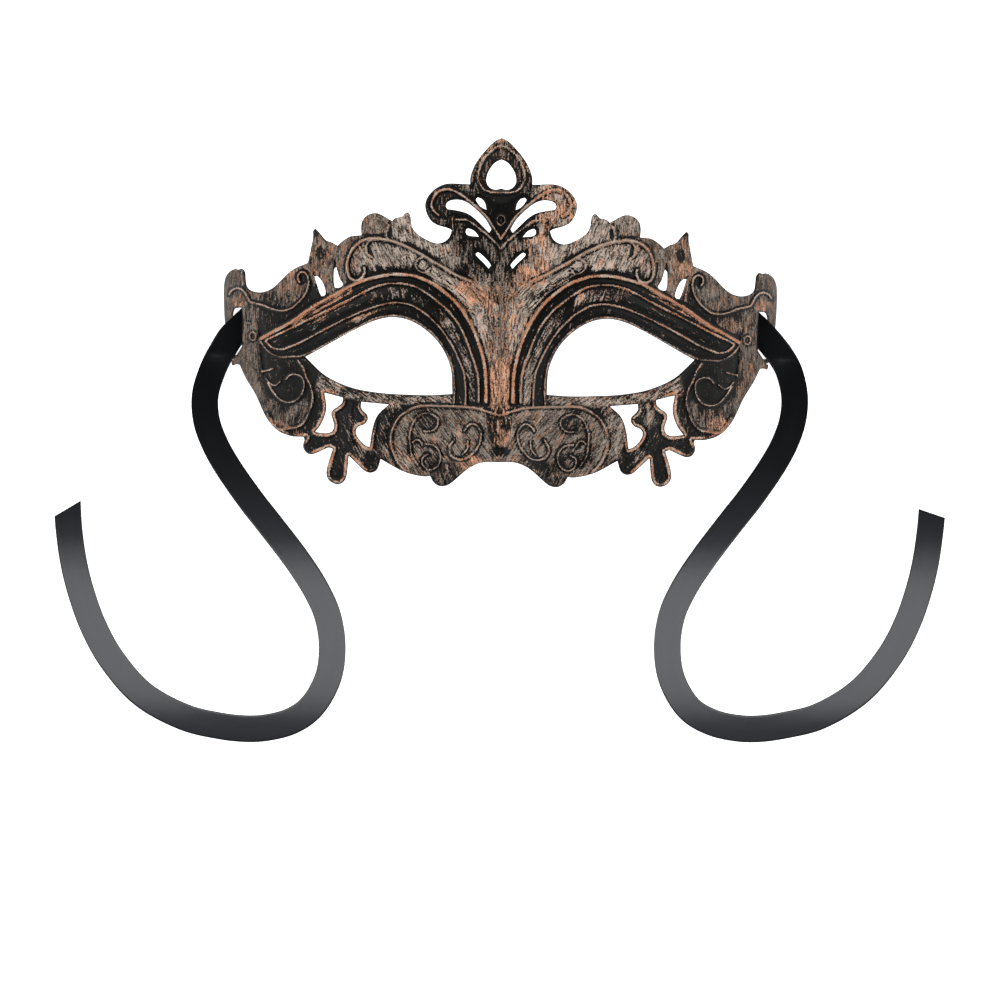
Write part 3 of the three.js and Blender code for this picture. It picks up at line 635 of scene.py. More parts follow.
front_faces = sheet.faces[:]
made = bmesh.ops.extrude_face_region(sheet, geom=front_faces, use_keep_orig=True)
back_verts = {item for item in made["geom"] if isinstance(item, bmesh.types.BMVert)}
for vert in back_verts:
    vert.co.z = BACK_LEVEL
bmesh.ops.recalc_face_normals(sheet, faces=sheet.faces)
front_edges = dict.fromkeys(edge for face in front_faces for edge in face.edges)
bmesh.ops.subdivide_edges(sheet, edges=list(front_edges), cuts=1, use_grid_fill=True)
front_verts = [vert for vert in sheet.verts if vert.co.z > FRONT_ABOVE]
sheet.normal_update()
rim = {vert for vert in front_verts if any(face.normal.z < 0.5 for face in vert.link_faces)}
for vert in rim:
    vert.co = outline_tree.find(vert.co)[0]

lines_tree = tree_of(all_lines)
pulled = set()
for vert in front_verts:
    if vert not in rim:
        place, _, distance = lines_tree.find((abs(vert.co.x), vert.co.y, 0))
        if distance < PULL_TO_LINE:
            vert.co.xy = (math.copysign(place.x, vert.co.x), place.y)
            pulled.add(vert)
loose = {v for vert in pulled for e in vert.link_edges for v in e.verts} - pulled - rim
loose = [vert for vert in loose if vert.co.z > FRONT_ABOVE]
for _ in range(2):
    bmesh.ops.smooth_vert(sheet, verts=loose, factor=0.4, use_axis_x=True, use_axis_y=True)
print("sheet with its back:", len(sheet.faces), "faces,", len(rim), "points on the rim")

# %% [markdown]
# The surface is lifted by heights that depend on the place: a rounded top on every raised line with a
# narrow groove beside it, fields that swell a little between the lines, a bead along some borders, and
# an edge that is rounded all round, as a moulded edge is. Sculpting by hand would do it too, but it
# could not be changed by one number. First come the lines: how high, and how much paint they take.

# %% Lift the relief
EDGE_RADIUS = 0.8
LINE_REACH = 3.2               # mm within which the distance to a line matters
TOP_SHAPE = 1.3                # 1 gives a line the top of a parabola, and more makes it narrower
GROOVE_PLACE = 0.2             # mm from the foot of a line to the middle of its groove
GROOVE_SPREAD = 0.38
GROOVE_DEPTH = 0.22
GROOVE_ENDS = 0.5              # mm of height of another line at which a groove has faded out
FIELD_SWELL = 0.5
SWELL_SPREAD = 2.2
THIN_EDGE = 0.15               # least height of the front above the table
PLAIN_TINT = 0.6
GROUP_SIZE = 2000              # places worked out at a time, to spare memory


def distance_to_line(places, line, reach=LINE_REACH):
    """Distance of each place to a raised line, only worked out near it."""
    distance = np.full(len(places), reach * 2)
    low, high = line.min(axis=0) - reach, line.max(axis=0) + reach
    near = np.flatnonzero(((places > low) & (places < high)).all(axis=1))
    start, step = line[:-1], np.diff(line, axis=0)
    lengths = (step**2).sum(axis=1)
    for group in np.array_split(near, len(near) // GROUP_SIZE + 1):
        offset = places[group][:, None] - start
        along = np.clip((offset * step).sum(axis=2) / lengths, 0, 1)
        gap = offset - along[:, :, None] * step
        distance[group] = np.sqrt((gap**2).sum(axis=2).min(axis=1))
    return distance


front_flat = flat_places(front_verts)
half_flat = np.column_stack([np.abs(front_flat[:, 0]), front_flat[:, 1]])
edge_distance = np.array([outline_tree.find(vert.co)[2] for vert in front_verts])
edge_distance[[index for index, vert in enumerate(front_verts) if vert in rim]] = 0

lift = np.zeros(len(front_verts))
rub = np.zeros(len(front_verts))
tint = np.full(len(front_verts), PLAIN_TINT)
groove = np.zeros(len(front_verts))
line_distance = np.full(len(front_verts), LINE_REACH * 2)
for raised in RAISED.values():
    distance = distance_to_line(half_flat, raised["line"])
    line_distance = np.minimum(line_distance, distance)
    across = np.minimum(distance / raised["half"], 1)
    top = (1 - across**2) ** TOP_SHAPE
    lift = np.maximum(lift, raised["height"] * top)
    tint[raised["rub"] * top > rub] = raised["tint"]
    rub = np.maximum(rub, raised["rub"] * top)
    beside = np.exp(-(((distance - raised["half"] - GROOVE_PLACE) / GROOVE_SPREAD) ** 2))
    groove = np.maximum(groove, raised["rub"] ** 2 * beside)
groove *= 1 - np.clip(lift / GROOVE_ENDS, 0, 1)
print("raised points:", int((lift > 0).sum()), "of", len(lift))

# %% [markdown]
# The pendants, the cheek lobes and the nose piece have a bead along their border. How strong it is
# changes from place to place, so it is given as soft spots: middle, size and strength. Then the lines,
# the bead, the swelling fields and the rounded edge are added up, and every point gets its height.

# %% Beads along the border
BEAD_MIDDLE = 0.75             # mm in from the border
BEAD_SPREAD = 0.75
BEAD_NARROWING = 1.4
BEAD_HEIGHT = 0.7
BEADS = [
    # middle out and up, size across and up, strength
    (52, -44, 12, 15, 1.0), (63, -39, 6, 6, 0.9), (58, -30, 4, 8, 0.9), (72, -42, 8, 4, 0.7),
    (36, -40, 3, 10, 0.7), (32, -53, 10, 4, 0.6), (9, -51, 9, 4, 0.6), (6, 54, 9, 12, 0.6),
    (24, 36, 8, 8, 0.5), (46, -27, 14, 3, 0.5),
]


def soft_spot(places, x, y, wide, tall):
    """1 in the middle of an ellipse, falling softly from 0.7 of its size to 0 at 1.3 of it."""
    reach = ((places[:, 0] - x) / wide) ** 2 + ((places[:, 1] - y) / tall) ** 2
    return 1 - smooth_step((np.sqrt(reach) - 0.7) / 0.6)


bead_strength = np.zeros(len(front_verts))
for x, y, wide, tall, strength in BEADS:
    bead_strength = np.maximum(bead_strength, strength * soft_spot(half_flat, x, y, wide, tall))
from_bead = (edge_distance - BEAD_MIDDLE) / BEAD_SPREAD
bead = np.exp(-(from_bead**2) * BEAD_NARROWING) * bead_strength
swell = 1 - np.exp(-((np.minimum(line_distance, edge_distance) / SWELL_SPREAD) ** 2))
rounding = np.clip(EDGE_RADIUS - edge_distance, 0, EDGE_RADIUS)
rounding = EDGE_RADIUS - np.sqrt(EDGE_RADIUS**2 - rounding**2)
relief = np.maximum(lift, np.maximum(BEAD_HEIGHT * bead, FIELD_SWELL * (swell - 0.5)))
relief = relief - GROOVE_DEPTH * groove * (1 - bead) - rounding
front_height = form_height(front_flat[:, 0], front_flat[:, 1]) + relief
for vert, height in zip(front_verts, np.maximum(front_height, THIN_EDGE)):
    vert.co.z = height
back_list = [vert for vert in sheet.verts if vert.co.z == BACK_LEVEL]
for vert, height in zip(back_list, np.maximum(inner_height(*flat_places(back_list).T), 0)):
    vert.co.z = height
print("highest point in mm:", round(float(front_height.max()), 2))

# %% [markdown]
# The maker sprays nothing: a nearly dry brush with copper paint is dragged over the black plastic, so
# paint stays on the tops and skips the hollows. The mesh keeps what the brush did at every point: how
# much paint there is, how light it is and how warm. Vertex painting by hand could do it too, but fields
# with an outline can be read and changed in the script. The first ones are the crest and the brows.

# %% Paint of the crest and the brows
SOFT_BORDER = 0.5              # mm over which one field's paint passes into the next
LEAF_FOOT = 5.0                # mm over the brow band where the leaf's paint fades to black
LEAF_BARE = 1                  # mm over the brow band with no paint at all

coat = {"cover": 0.86, "lightness": 0.2, "warmth": 0.32}
coat = {key: np.full(len(front_verts), value) for key, value in coat.items()}
brush_angle = np.full(len(front_verts), 90.0)


def paint_field(name, cover, lightness, warmth, angle, border, softness=SOFT_BORDER):
    """Paint inside a closed line on both halves. The angle of the brush is in degrees."""
    border = np.array(border, float)
    within = inside(half_flat, [border])
    to_border = distance_to_line(half_flat, np.vstack([border, border[:1]]), softness)
    share = 0.5 + np.where(within, 0.5, -0.5) * smooth_step(to_border / softness)
    for key, value in zip(coat, (cover, lightness, warmth)):
        coat[key] += (value - coat[key]) * share
    brush_angle[within] = angle
    print("painted the", name, "at", int(within.sum()), "points")
    return within


paint_field("crest", 0.43, 0.18, 0.3, 90, [(-1, 60), (27, 60), (27, 30), (16, 27), (-1, 27)], softness=3)
paint_field("crest heart", 0.04, 0.06, 0.2, 90, [
    (-1, 22), (4.6, 30.5), (9, 35.5), (8.6, 39), (3, 39.6), (-1, 39.6)
])
paint_field("drop", 0.2, 0.12, 0.2, 90, [
    (-1, 55), (4, 53), (7.4, 47.5), (7.3, 42.8), (3.5, 39.8), (-1, 39.6)
])
paint_field("shoulder", 0.9, 0.38, 0.12, 72, [
    (14, 13), (20, 16), (30, 21.4), (37, 24), (36.4, 33), (29, 34), (27, 26), (16.4, 24)
], softness=1.5)
paint_field("forehead", 0.5, 0.17, 0.35, 90, [
    (-1, 21), (8.6, 28.8), (16, 28), (16, 10), (8, 3), (-1, 3)
], softness=3)
paint_field("nose bridge", 0.84, 0.31, 0.5, 84, [
    (-1, 10), (12, 10), (9, -4), (5, -17), (4.4, -31), (-1, -31)
], softness=3.5)
on_leaf = paint_field("brow leaf", 0.9, 0.36, 0.2, 66, [
    (10.5, 10.2), (20, 15.4), (26, 18.8), (34, 22.6), (42, 24.1), (47.5, 22.5), (50.6, 18), (51, 13),
    (48.8, 10), (42, 11.2), (34, 12.2), (24, 10), (18.5, 6.5), (14, 4)
])
over_band = distance_to_line(half_flat, RAISED["brow_band"]["line"], LEAF_FOOT)
coat["cover"][on_leaf] *= smooth_step((over_band[on_leaf] - LEAF_BARE) / (LEAF_FOOT - LEAF_BARE))
paint_field("nose root", 0.82, 0.26, 0.6, 46, [
    (11, 10.6), (13.5, 6), (11, 0), (8.4, -2), (5.6, 2), (4.6, 6), (6.6, 10)
])
paint_field("brow loop", 0.66, 0.4, 0.02, 40, [
    (26, 18.6), (29.2, 16.4), (27.4, 13), (24, 12.4), (16, 6.4), (11, 0), (8.6, 1.6), (12, 8), (22, 15)
])

# %% [markdown]
# The bands round the eyes stay nearly black between their raised lines, which makes the eyes look deep.
# A thin cover is kept instead of none, because a brush always leaves a few stray strokes.

# %% Paint of the bands round the eyes
paint_field("band", 0.1, 0.18, 0.3, 75, [
    (3.6, -31.5), (3.6, -25), (4, -18), (6.6, -10), (10.5, -2), (15, 4.5), (20, 9), (25, 11.4),
    (31, 13), (38, 12.9), (46, 10.6), (54, 6.6), (62, 2), (70, -3.4), (80.4, -9.4), (79, -12.5),
    (75, -15.6), (65, -15.6), (58, -11.6), (50, -7.4), (43, -3.7), (37, -2.1), (31, -2.7), (25, -6),
    (19.8, -11.2), (16.7, -17.5), (15.6, -25), (15.6, -31.5)
])
paint_field("temple band", 0.1, 0.18, 0.4, 154, [
    (42, 11.4), (46, 10.6), (54, 6.6), (62, 2), (70, -3.4), (80.4, -9.4), (79, -12.5), (75, -15.6),
    (65, -15.6), (58, -11.6), (50, -7.4), (42, -3.4)
])
paint_field("nose channel", 0.52, 0.3, 0.12, 62, [
    (7, -31), (7.3, -20), (10.5, -12), (15, -3), (18, 0), (21, -4.5), (16, -12), (12.2, -20), (11, -31)
], softness=1)

# %% [markdown]
# At the temples the brush is held upright and carries a thinner, darker paint, and the hollow of the
# cheek stays black. Each field has its own brush angle, so that the strokes follow the form.

# %% Paint of the temples and cheeks
paint_field("temple leaf", 0.76, 0.15, 0.4, 92, [
    (67.1, 12.3), (64.5, 12), (64, 8.6), (65, 5.5), (67.5, 2.5), (70, 0.6), (73, 0), (79, 1.8),
    (83.5, 3), (84, 8), (80, 8), (68, 17)
])
paint_field("temple", 0.18, 0.14, 0.3, 90, [
    (52, 7.2), (58, 5), (62.6, 12.8), (64, 8.6), (65, 5.5), (67.5, 2.5), (70, 0.6), (73, 0), (79, 1.8),
    (81.4, 2), (81.4, -9), (74, -6.2), (70, -4), (62, 1.5)
])
paint_field("finial", 0.8, 0.19, 0.6, 88, [
    (55.5, 24), (56, 18), (58.3, 11), (59.3, 4), (63, 11), (65, 17), (64, 28), (60, 28)
])
paint_field("rim", 0.8, 0.14, 0.25, 92, [
    (81.4, 4), (81.5, -8), (80, -20), (78, -31), (84, -31), (90, -18), (87, 3)
], softness=1)
paint_field("ear", 0.68, 0.115, 0.35, 90, [
    (83.8, 3), (84, 15), (94, 15), (94, -20), (88.6, -17), (88.6, 2)
])
paint_field("cheek", 0.05, 0.06, 0.2, 90, [
    (56, -20), (65, -16), (75, -15.8), (80, -11.5), (80.8, -20), (77, -31), (71, -32), (65, -30),
    (56, -29)
], softness=1.5)
paint_field("cheek foot", 0.54, 0.125, 0.25, 98, [
    (63, -29), (71, -31.5), (77, -29), (84, -31), (77, -40), (68, -39), (64, -35)
], softness=1.5)
paint_field("cheek border", 0.2, 0.14, 0.5, 90, [
    (62, -25), (62.3, -31), (65, -37), (70, -39.4), (75, -39), (72, -43), (64, -42), (56, -33),
    (57, -26)
])

# %% [markdown]
# The strip below the eye and the nose piece are brushed along their slant, and the pendants hardly at
# all. Where a raised line or a bead takes paint of its own, the line's tint replaces the field's warmth.

# %% Paint below the eyes
TINT_REACH = 3                 # a line's tint is whole from a third of its rub up

paint_field("under eye", 0.58, 0.3, 0.2, 34, [
    (15.6, -27), (50, -24.5), (60, -20), (62, -27), (46, -31), (15.6, -31.3)
])
paint_field("cartouche", 0.8, 0.2, 0.3, 52, [
    (-1, -34.4), (4.5, -33), (12, -31.6), (24, -31.3), (31, -33.3), (35, -38), (36, -43), (35, -47.5),
    (31, -54), (23, -56), (12, -56), (-1, -52)
])
paint_field("cartouche border", 0.25, 0.18, 0.35, 60, [
    (28, -31.5), (31, -33.3), (35, -38), (36, -43), (35, -47.5), (31, -53.4), (37, -54), (43, -48),
    (44, -33), (38, -30)
])
paint_field("nose tip", 0.5, 0.26, 0.85, 90, [
    (-1, -31), (3.2, -31), (4.6, -34), (3.6, -42), (1.2, -46), (-1, -46)
])
paint_field("tab", 0.55, 0.14, 0.3, 70, [(12, -50), (22, -50), (23, -54), (21, -60), (12, -60)])
paint_field("pendant", 0.06, 0.14, 0.3, 62, [
    (47, -29.6), (53.2, -29), (56, -36), (66, -42.6), (68, -48), (60, -60), (48, -60), (38, -54),
    (38.6, -49), (43.5, -46), (43, -36)
])
line_share = np.minimum(1, np.maximum(rub, bead_strength * bead) * TINT_REACH)
coat["warmth"] += (tint - coat["warmth"]) * line_share
print("mean cover of the fields:", round(float(coat["cover"].mean()), 2))

# %% [markdown]
# No two strokes of a painter are alike, and the right half of this mask got more paint than the left.
# Soft spots add or take away paint where the photo shows it. A spot on side 0 is on both halves, and
# one on side -1 or 1 is on the left or right half alone.

# %% Soft spots of paint
SPOTS = [
    # side, middle out and up, size across and up, added cover, lightness and warmth
    (-1, 20, 37, 8, 6, -0.1, -0.02, 0.1), (1, 19, 36, 8, 8, 0.78, 0.24, 0.3),
    (0, 0, 55, 6, 4, 0.3, 0.08, 0.2), (0, 7, 49, 3, 6, 0.25, 0.06, 0.1),
    (1, 12, 28, 5, 5, 0.3, 0.12, 0.1), (-1, 9, 18, 8, 10, -0.05, -0.03, -0.1),
    (1, 12, 18, 6, 9, 0.4, 0.16, 0.1), (1, 9, 12, 7, 4, 0.1, 0, 0.3),
    (0, 0, 7, 5, 5, -0.05, -0.07, 0.1), (-1, 12.5, 4.5, 4, 5, 0.1, 0.08, 0.6),
    (1, 10, 5, 4, 6, 0.1, 0.1, -0.3), (-1, 7, -4, 3, 7, 0.05, 0.08, -0.3),
    (1, 6, -6, 3, 8, 0.1, 0.08, -0.1), (0, 1, -8, 2, 8, -0.12, -0.1, 0),
    (0, 0, -24, 4, 9, 0.14, 0.08, 0.6), (1, 8.5, -23, 3, 9, 0.45, 0, 0),
    (-1, 33, 6.3, 9, 2.2, 0.12, 0.1, -0.1), (1, 33, 6, 11, 2.6, 0.3, 0.1, 0.1),
    (-1, 38.5, 20, 6, 4, -0.12, -0.05, -0.2), (-1, 27, 18, 5.5, 3.4, 0.1, 0.14, -0.25),
    (-1, 13, 26, 4, 4, -0.08, -0.02, 0), (1, 31, 19, 9, 7, 0.16, 0.05, 0),
    (0, 49, 19, 3, 6, -0.05, -0.08, 0.2), (-1, 48, 17, 3, 5, 0, -0.02, 0),
    (0, 46, 19, 3.2, 3.4, 0.1, 0.02, 0.05), (-1, 70, 10, 6, 4, 0.15, 0.05, 0.3),
    (-1, 76, 3, 6, 3, -0.35, 0, -0.1), (0, 41, 12, 9, 2.4, 0, 0, -0.4), (1, 70, 9, 6, 4, 0.05, 0, -0.2),
    (0, 66, 11.5, 2, 2.6, -0.7, 0, 0), (0, 60, 19.3, 1.3, 2.2, -1.1, 0, 0),
    (0, 61.8, 26.4, 1.5, 2, -0.5, 0, 0), (1, 60, 11, 4, 9, 0.2, 0.08, 0.15),
    (1, 41, 28, 5, 4, 0.1, 0.05, 0), (0, 87, 3.2, 2.2, 2, 0.1, 0.08, 0.6),
    (1, 82, -23, 4, 7, 0, 0.02, 0.4), (1, 74, -38.5, 5, 4, 0.3, 0.14, 0.6),
    (1, 72, -34, 5, 4, -0.1, 0.02, 0.25), (0, 49.8, -39, 2.6, 5, 0.3, 0.04, -0.1),
    (-1, 46.4, -47.5, 2.6, 4.5, 0.5, 0.08, -0.1), (1, 46.4, -47.5, 2.6, 4.5, 0.35, 0.06, 0),
    (1, 49.7, -34, 2, 4, 0.5, 0.08, -0.1), (0, 38, -31, 5, 1.5, 0.3, 0.1, 0),
    (-1, 50, -27, 9, 1.2, -0.1, 0.1, 0), (1, 26, -29.5, 9, 1.8, 0.4, 0.02, 0.1),
    (1, 38, -40, 4, 7, 0.5, 0.08, -0.1), (0, 37, -49, 4, 5, 0.3, 0.04, 0),
    (-1, 33, -51, 4, 4, 0.1, 0.08, 0.1), (0, 23.5, -37, 3.2, 2.8, -0.36, -0.04, -0.1),
    (0, 23, -49.6, 3.2, 3, -0.34, -0.04, 0), (1, 28.6, -46, 3.2, 5, -0.22, -0.02, -0.1),
    (-1, 28, -43.6, 2.2, 4, -0.24, 0, 0), (0, 89.8, -16.6, 2, 1.8, 0.3, 0.1, 0.8),
    (-1, 12, -42, 4, 4, 0, 0.03, 0.1), (1, 2, -42, 3.4, 3, 0.6, 0.08, 0.3),
    (-1, 10, -50.5, 4, 2.6, 0.3, 0.16, 0.75), (1, 11, -50.5, 5, 2.4, -0.5, 0, 0),
    (0, 1.5, -46.5, 2.4, 1.6, -0.6, 0, 0), (1, 76, -4, 4, 3, 0.5, 0.04, 0.5),
    (1, 33, 20, 10, 6, 0.1, 0.03, 0),
]


def add_paint(share, side, more):
    """Add cover, lightness and warmth by the share of each point, on one side or both."""
    on_side = (side == 0) | (np.sign(front_flat[:, 0]) == side)
    for key, value in zip(coat, more):
        coat[key] += value * (share * on_side)


for side, x, y, wide, tall, *more in SPOTS:
    add_paint(soft_spot(half_flat, x, y, wide, tall), side, more)
print("soft spots:", len(SPOTS), "and the mean cover is now", round(float(coat["cover"].mean()), 2))

# %% [markdown]
# A dab is one touch of the brush tip, from its start to its end. A negative dab is a place that the
# brush skipped. Last, black paint is left round the openings of the crest.

# %% Dabs of the brush tip
DABS = [
    # side, start, end, half width, added cover, lightness and warmth
    (-1, 50, 6.9, 69, -4.3, 0.9, 0.95, 0.2, 0.6), (-1, 45.5, 5.6, 64, -4, 0.8, 0.6, 0.14, 0.6),
    (-1, 36, 2.1, 55, -5.2, 0.7, 0.5, 0.12, 0.4), (-1, 45.6, -2.2, 48, -3.2, 0.9, 0.7, 0.2, -0.3),
    (1, 50, 6.9, 72, -5.6, 0.8, 0.8, 0.16, 0.6), (1, 40, 8.2, 60, -1, 0.7, 0.4, 0.14, 0.4),
    (-1, 42.6, 6.3, 41.8, 5, 0.8, 0.5, 0.04, -0.2), (-1, 36.2, 7.6, 35.2, 5.4, 1, 0.45, 0.06, -0.2),
    (-1, 29.4, 4.9, 28.4, 3.2, 0.6, 0.45, 0.06, -0.2), (1, 27, 5.6, 25.4, 3, 1, 0.6, 0.12, 0.1),
    (0, 43.9, 22.4, 43.4, 19.2, 0.6, -1.2, -0.1, 0), (0, 36.6, 27.4, 36.6, 25, 0.5, -1, -0.1, 0),
    (0, 45.6, 25.6, 39.4, 25.4, 0.35, -0.8, 0, 0), (0, 31, 22.7, 21, 17.4, 0.9, -0.6, -0.04, 0),
    (-1, 11, 8, 5, 4, 3, 0.15, 0.03, 0.3), (-1, 24, 12, 13, 5, 1.4, 0.3, 0.16, -0.4),
    (1, 15.2, 28, 15, 14, 1.6, 0.2, 0.08, 0.2), (1, 8, 14, 14, 10.6, 1.2, 0.3, 0.1, 0.7),
    # the first dab on the next line is a small pale speck in the middle of the boss, where the mask has a
    # white spot
    (0, 0, 31, 0, 30.2, 0.5, 1.5, 1, -0.4), (-1, 78, -36, 66, -40.6, 0.9, 0.3, 0.08, 0.6),
]
DARK_RIM = 1.1                 # mm of black paint left round each opening of the crest
CREST_OPENINGS = (8, 26, 11, 14)

for side, ax, ay, bx, by, half_width, *more in DABS:
    to_dab = distance_to_line(half_flat, np.array([(ax, ay), (bx, by)], float))
    add_paint(1 - smooth_step(to_dab / half_width - 0.5), side, more)
coat["cover"] -= np.exp(-((edge_distance / DARK_RIM) ** 2)) * soft_spot(half_flat, *CREST_OPENINGS)
print("dabs:", len(DABS), "and the mean cover is now", round(float(coat["cover"].mean()), 2))

# %% [markdown]
# The strokes are measured on the surface, not in plan: round the temple the sheet is steep, and a
# stroke has the same width there as on the brow. So the way across follows the arc of the sweep. The
# brush place is kept as an attribute, with the distance across and along the strokes, and the other
# attributes hold the coat, the copper on the raised lines and the grooves.

# %% Finish the mask mesh with its paint attributes
ARC_STEP = 0.5
ARC_END = 96
ARC_ROW = 5.0                  # how far up the arc is measured
HALVES_APART = 300             # keeps the two halves from having mirrored strokes
BEAD_COPPER = 0.95
DARK_EDGE = 0.3                # mm of bare plastic along every edge
SHARP_EDGE = math.radians(60)

arc_x = np.arange(0, ARC_END, ARC_STEP)
arc_z = form_height(arc_x, np.full(len(arc_x), ARC_ROW))
arc_length = np.r_[0, np.cumsum(np.hypot(np.diff(arc_x), np.diff(arc_z)))]
around = np.interp(half_flat[:, 0], arc_x, arc_length)
turn = np.radians(brush_angle)
stroke_across = around * np.sin(turn) - half_flat[:, 1] * np.cos(turn)
stroke_along = around * np.cos(turn) + half_flat[:, 1] * np.sin(turn)
stroke_side = np.where(front_flat[:, 0] < 0, HALVES_APART, 0)

bmesh.ops.scale(sheet, vec=(MM, MM, MM), verts=sheet.verts)
sheet.verts.index_update()
front_index = np.array([vert.index for vert in front_verts])
mask_mesh = bpy.data.meshes.new("mask_moulding")
sheet.to_mesh(mask_mesh)
sheet.free()


def keep_attribute(name, values):
    """Keep a number or a vector for every point of the mask; the back keeps zeros."""
    values = np.asarray(values, float)
    every = np.zeros((len(mask_mesh.vertices), *values.shape[1:]))
    every[front_index] = values
    kind, field = ("FLOAT_VECTOR", "vector") if values.ndim == 2 else ("FLOAT", "value")
    mask_mesh.attributes.new(name, kind, "POINT").data.foreach_set(field, every.ravel())


keep_attribute("brush", np.column_stack([stroke_across, stroke_along, stroke_side]))
for key, values in coat.items():
    keep_attribute(key, np.clip(values, 0, 1))
keep_attribute("copper", np.maximum(rub, bead * BEAD_COPPER))
keep_attribute("groove", np.clip(groove + np.exp(-((edge_distance / DARK_EDGE) ** 2)), 0, 1))
mask_mesh.shade_smooth()
mask_mesh.set_sharp_from_angle(angle=SHARP_EDGE)
mask_piece = bpy.data.objects.new("mask_moulding", mask_mesh)
bpy.context.scene.collection.objects.link(mask_piece)
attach(mask_piece, "root")
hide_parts("mask")
mask_triangles = sum(len(face.vertices) - 2 for face in mask_mesh.polygons)
print("mask triangles:", mask_triangles)

# %% [markdown]
# Materials are built from nodes, and a few small helpers keep that short: one adds a group with its
# sockets, one joins two sockets, and the others add the kinds of node that the finishes need. They could
# be placed by hand in the editor, but a script makes the same material every time.

# %% Node helpers
def node_group(name, inputs, outputs):
    """An empty shader group with named sockets."""
    group = bpy.data.node_groups.new(name, "ShaderNodeTree")
    for socket, kind in inputs:
        group.interface.new_socket(socket, in_out="INPUT", socket_type=kind)
    for socket, kind in outputs:
        group.interface.new_socket(socket, in_out="OUTPUT", socket_type=kind)
    return group, group.nodes.new("NodeGroupInput").outputs, group.nodes.new("NodeGroupOutput").inputs


def link(tree, value, socket):
    """Join an output to a socket, or set the socket to a plain value."""
    if isinstance(value, bpy.types.NodeSocket):
        tree.links.new(value, socket)
    else:
        socket.default_value = value


def math_node(tree, operation, *values):
    node = tree.nodes.new("ShaderNodeMath")
    node.operation = operation
    for value, socket in zip(values, node.inputs):
        link(tree, value, socket)
    return node.outputs[0]


def ramp(tree, value, start, end):
    """0 below start, 1 above end and smooth between them."""
    node = tree.nodes.new("ShaderNodeMapRange")
    node.interpolation_type = "SMOOTHSTEP"
    for socket, number in (("Value", value), ("From Min", start), ("From Max", end)):
        link(tree, number, node.inputs[socket])
    return node.outputs["Result"]


def mix_colour(tree, amount, first, second):
    node = tree.nodes.new("ShaderNodeMix")
    node.data_type = "RGBA"
    link(tree, amount, node.inputs["Factor"])
    link(tree, first, node.inputs[6])
    link(tree, second, node.inputs[7])
    return node.outputs[2]


def stretched_noise(tree, place, scale, detail, roughness=0.55):
    """Noise on a place that is scaled differently along each axis."""
    mapping = tree.nodes.new("ShaderNodeMapping")
    link(tree, place, mapping.inputs["Vector"])
    mapping.inputs["Scale"].default_value = scale
    noise = tree.nodes.new("ShaderNodeTexNoise")
    noise.inputs["Scale"].default_value = 1
    noise.inputs["Detail"].default_value = detail
    noise.inputs["Roughness"].default_value = roughness
    link(tree, mapping.outputs[0], noise.inputs["Vector"])
    return noise.outputs["Fac"]


print("materials before the finishes:", len(bpy.data.materials))

# %% [markdown]
# The strokes are noise that is stretched along the brush: fine noise for its hairs, broad noise for the
# clumps that they stick together in, and short noise for specks. Paint shows where the sum is above what
# the coat leaves bare. Noise on the Object coordinates would not turn with the leaves, so the strokes
# read the brush place that is kept on the mesh. Each scale is across, along and from half to half.

# %% Dry brush strokes
HAIRS = (1.5, 0.25, 1)
CLUMPS = (0.35, 0.13, 1)
SPECKS = (2.6, 1.6, 1)
TONES = (1.8, 0.32, 2)
STREAKS = (0.7, 0.22, 3)
HAIR_SHARE = 0.6
CLUMP_SHARE = 0.2
SPECK_SHARE = 0.32
COVER_SWING = (4.5, -2.02)     # spreads the sum over the whole range of the cover
TONE_SWING = (19, -9.43)       # how much lighter and darker the strokes are than the coat
PAINT_EDGE = (-0.04, 0.08)

strokes, given, out = node_group(
    "dry_brush",
    [("Place", "NodeSocketVector"), ("Cover", "NodeSocketFloat"), ("Lightness", "NodeSocketFloat")],
    [("Paint", "NodeSocketFloat"), ("Thickness", "NodeSocketFloat"), ("Streak", "NodeSocketFloat"),
     ("Fine", "NodeSocketFloat"), ("Clump", "NodeSocketFloat")])
hairs = stretched_noise(strokes, given["Place"], HAIRS, 3, 0.6)
clumps = stretched_noise(strokes, given["Place"], CLUMPS, 2)
specks = stretched_noise(strokes, given["Place"], SPECKS, 2)
mixed = math_node(strokes, "MULTIPLY", hairs, HAIR_SHARE)
mixed = math_node(strokes, "MULTIPLY_ADD", clumps, CLUMP_SHARE, mixed)
mixed = math_node(strokes, "MULTIPLY_ADD", specks, SPECK_SHARE, mixed)
level = math_node(strokes, "MULTIPLY_ADD", mixed, *COVER_SWING)
bare = math_node(strokes, "SUBTRACT", 1, given["Cover"])
above = math_node(strokes, "SUBTRACT", level, bare)
link(strokes, ramp(strokes, above, *PAINT_EDGE), out["Paint"])
tone = stretched_noise(strokes, given["Place"], TONES, 4, 0.65)
tone = math_node(strokes, "MULTIPLY", tone, HAIR_SHARE)
tone = math_node(strokes, "MULTIPLY_ADD", specks, SPECK_SHARE, tone)
tone = math_node(strokes, "MULTIPLY_ADD", clumps, CLUMP_SHARE, tone)
swing = math_node(strokes, "MULTIPLY_ADD", tone, *TONE_SWING)
link(strokes, math_node(strokes, "MULTIPLY", given["Lightness"], swing), out["Thickness"])
link(strokes, stretched_noise(strokes, given["Place"], STREAKS, 3), out["Streak"])
link(strokes, specks, out["Fine"])
link(strokes, clumps, out["Clump"])
print("stroke nodes:", len(strokes.nodes))

# %% [markdown]
# The paint runs from a thin brown film to beige or copper where it lies thick, over dull black plastic.
# A picture of paint could be wrapped round the mask, but the nodes keep the strokes sharp at any
# distance, and they follow what the mesh keeps at every point.

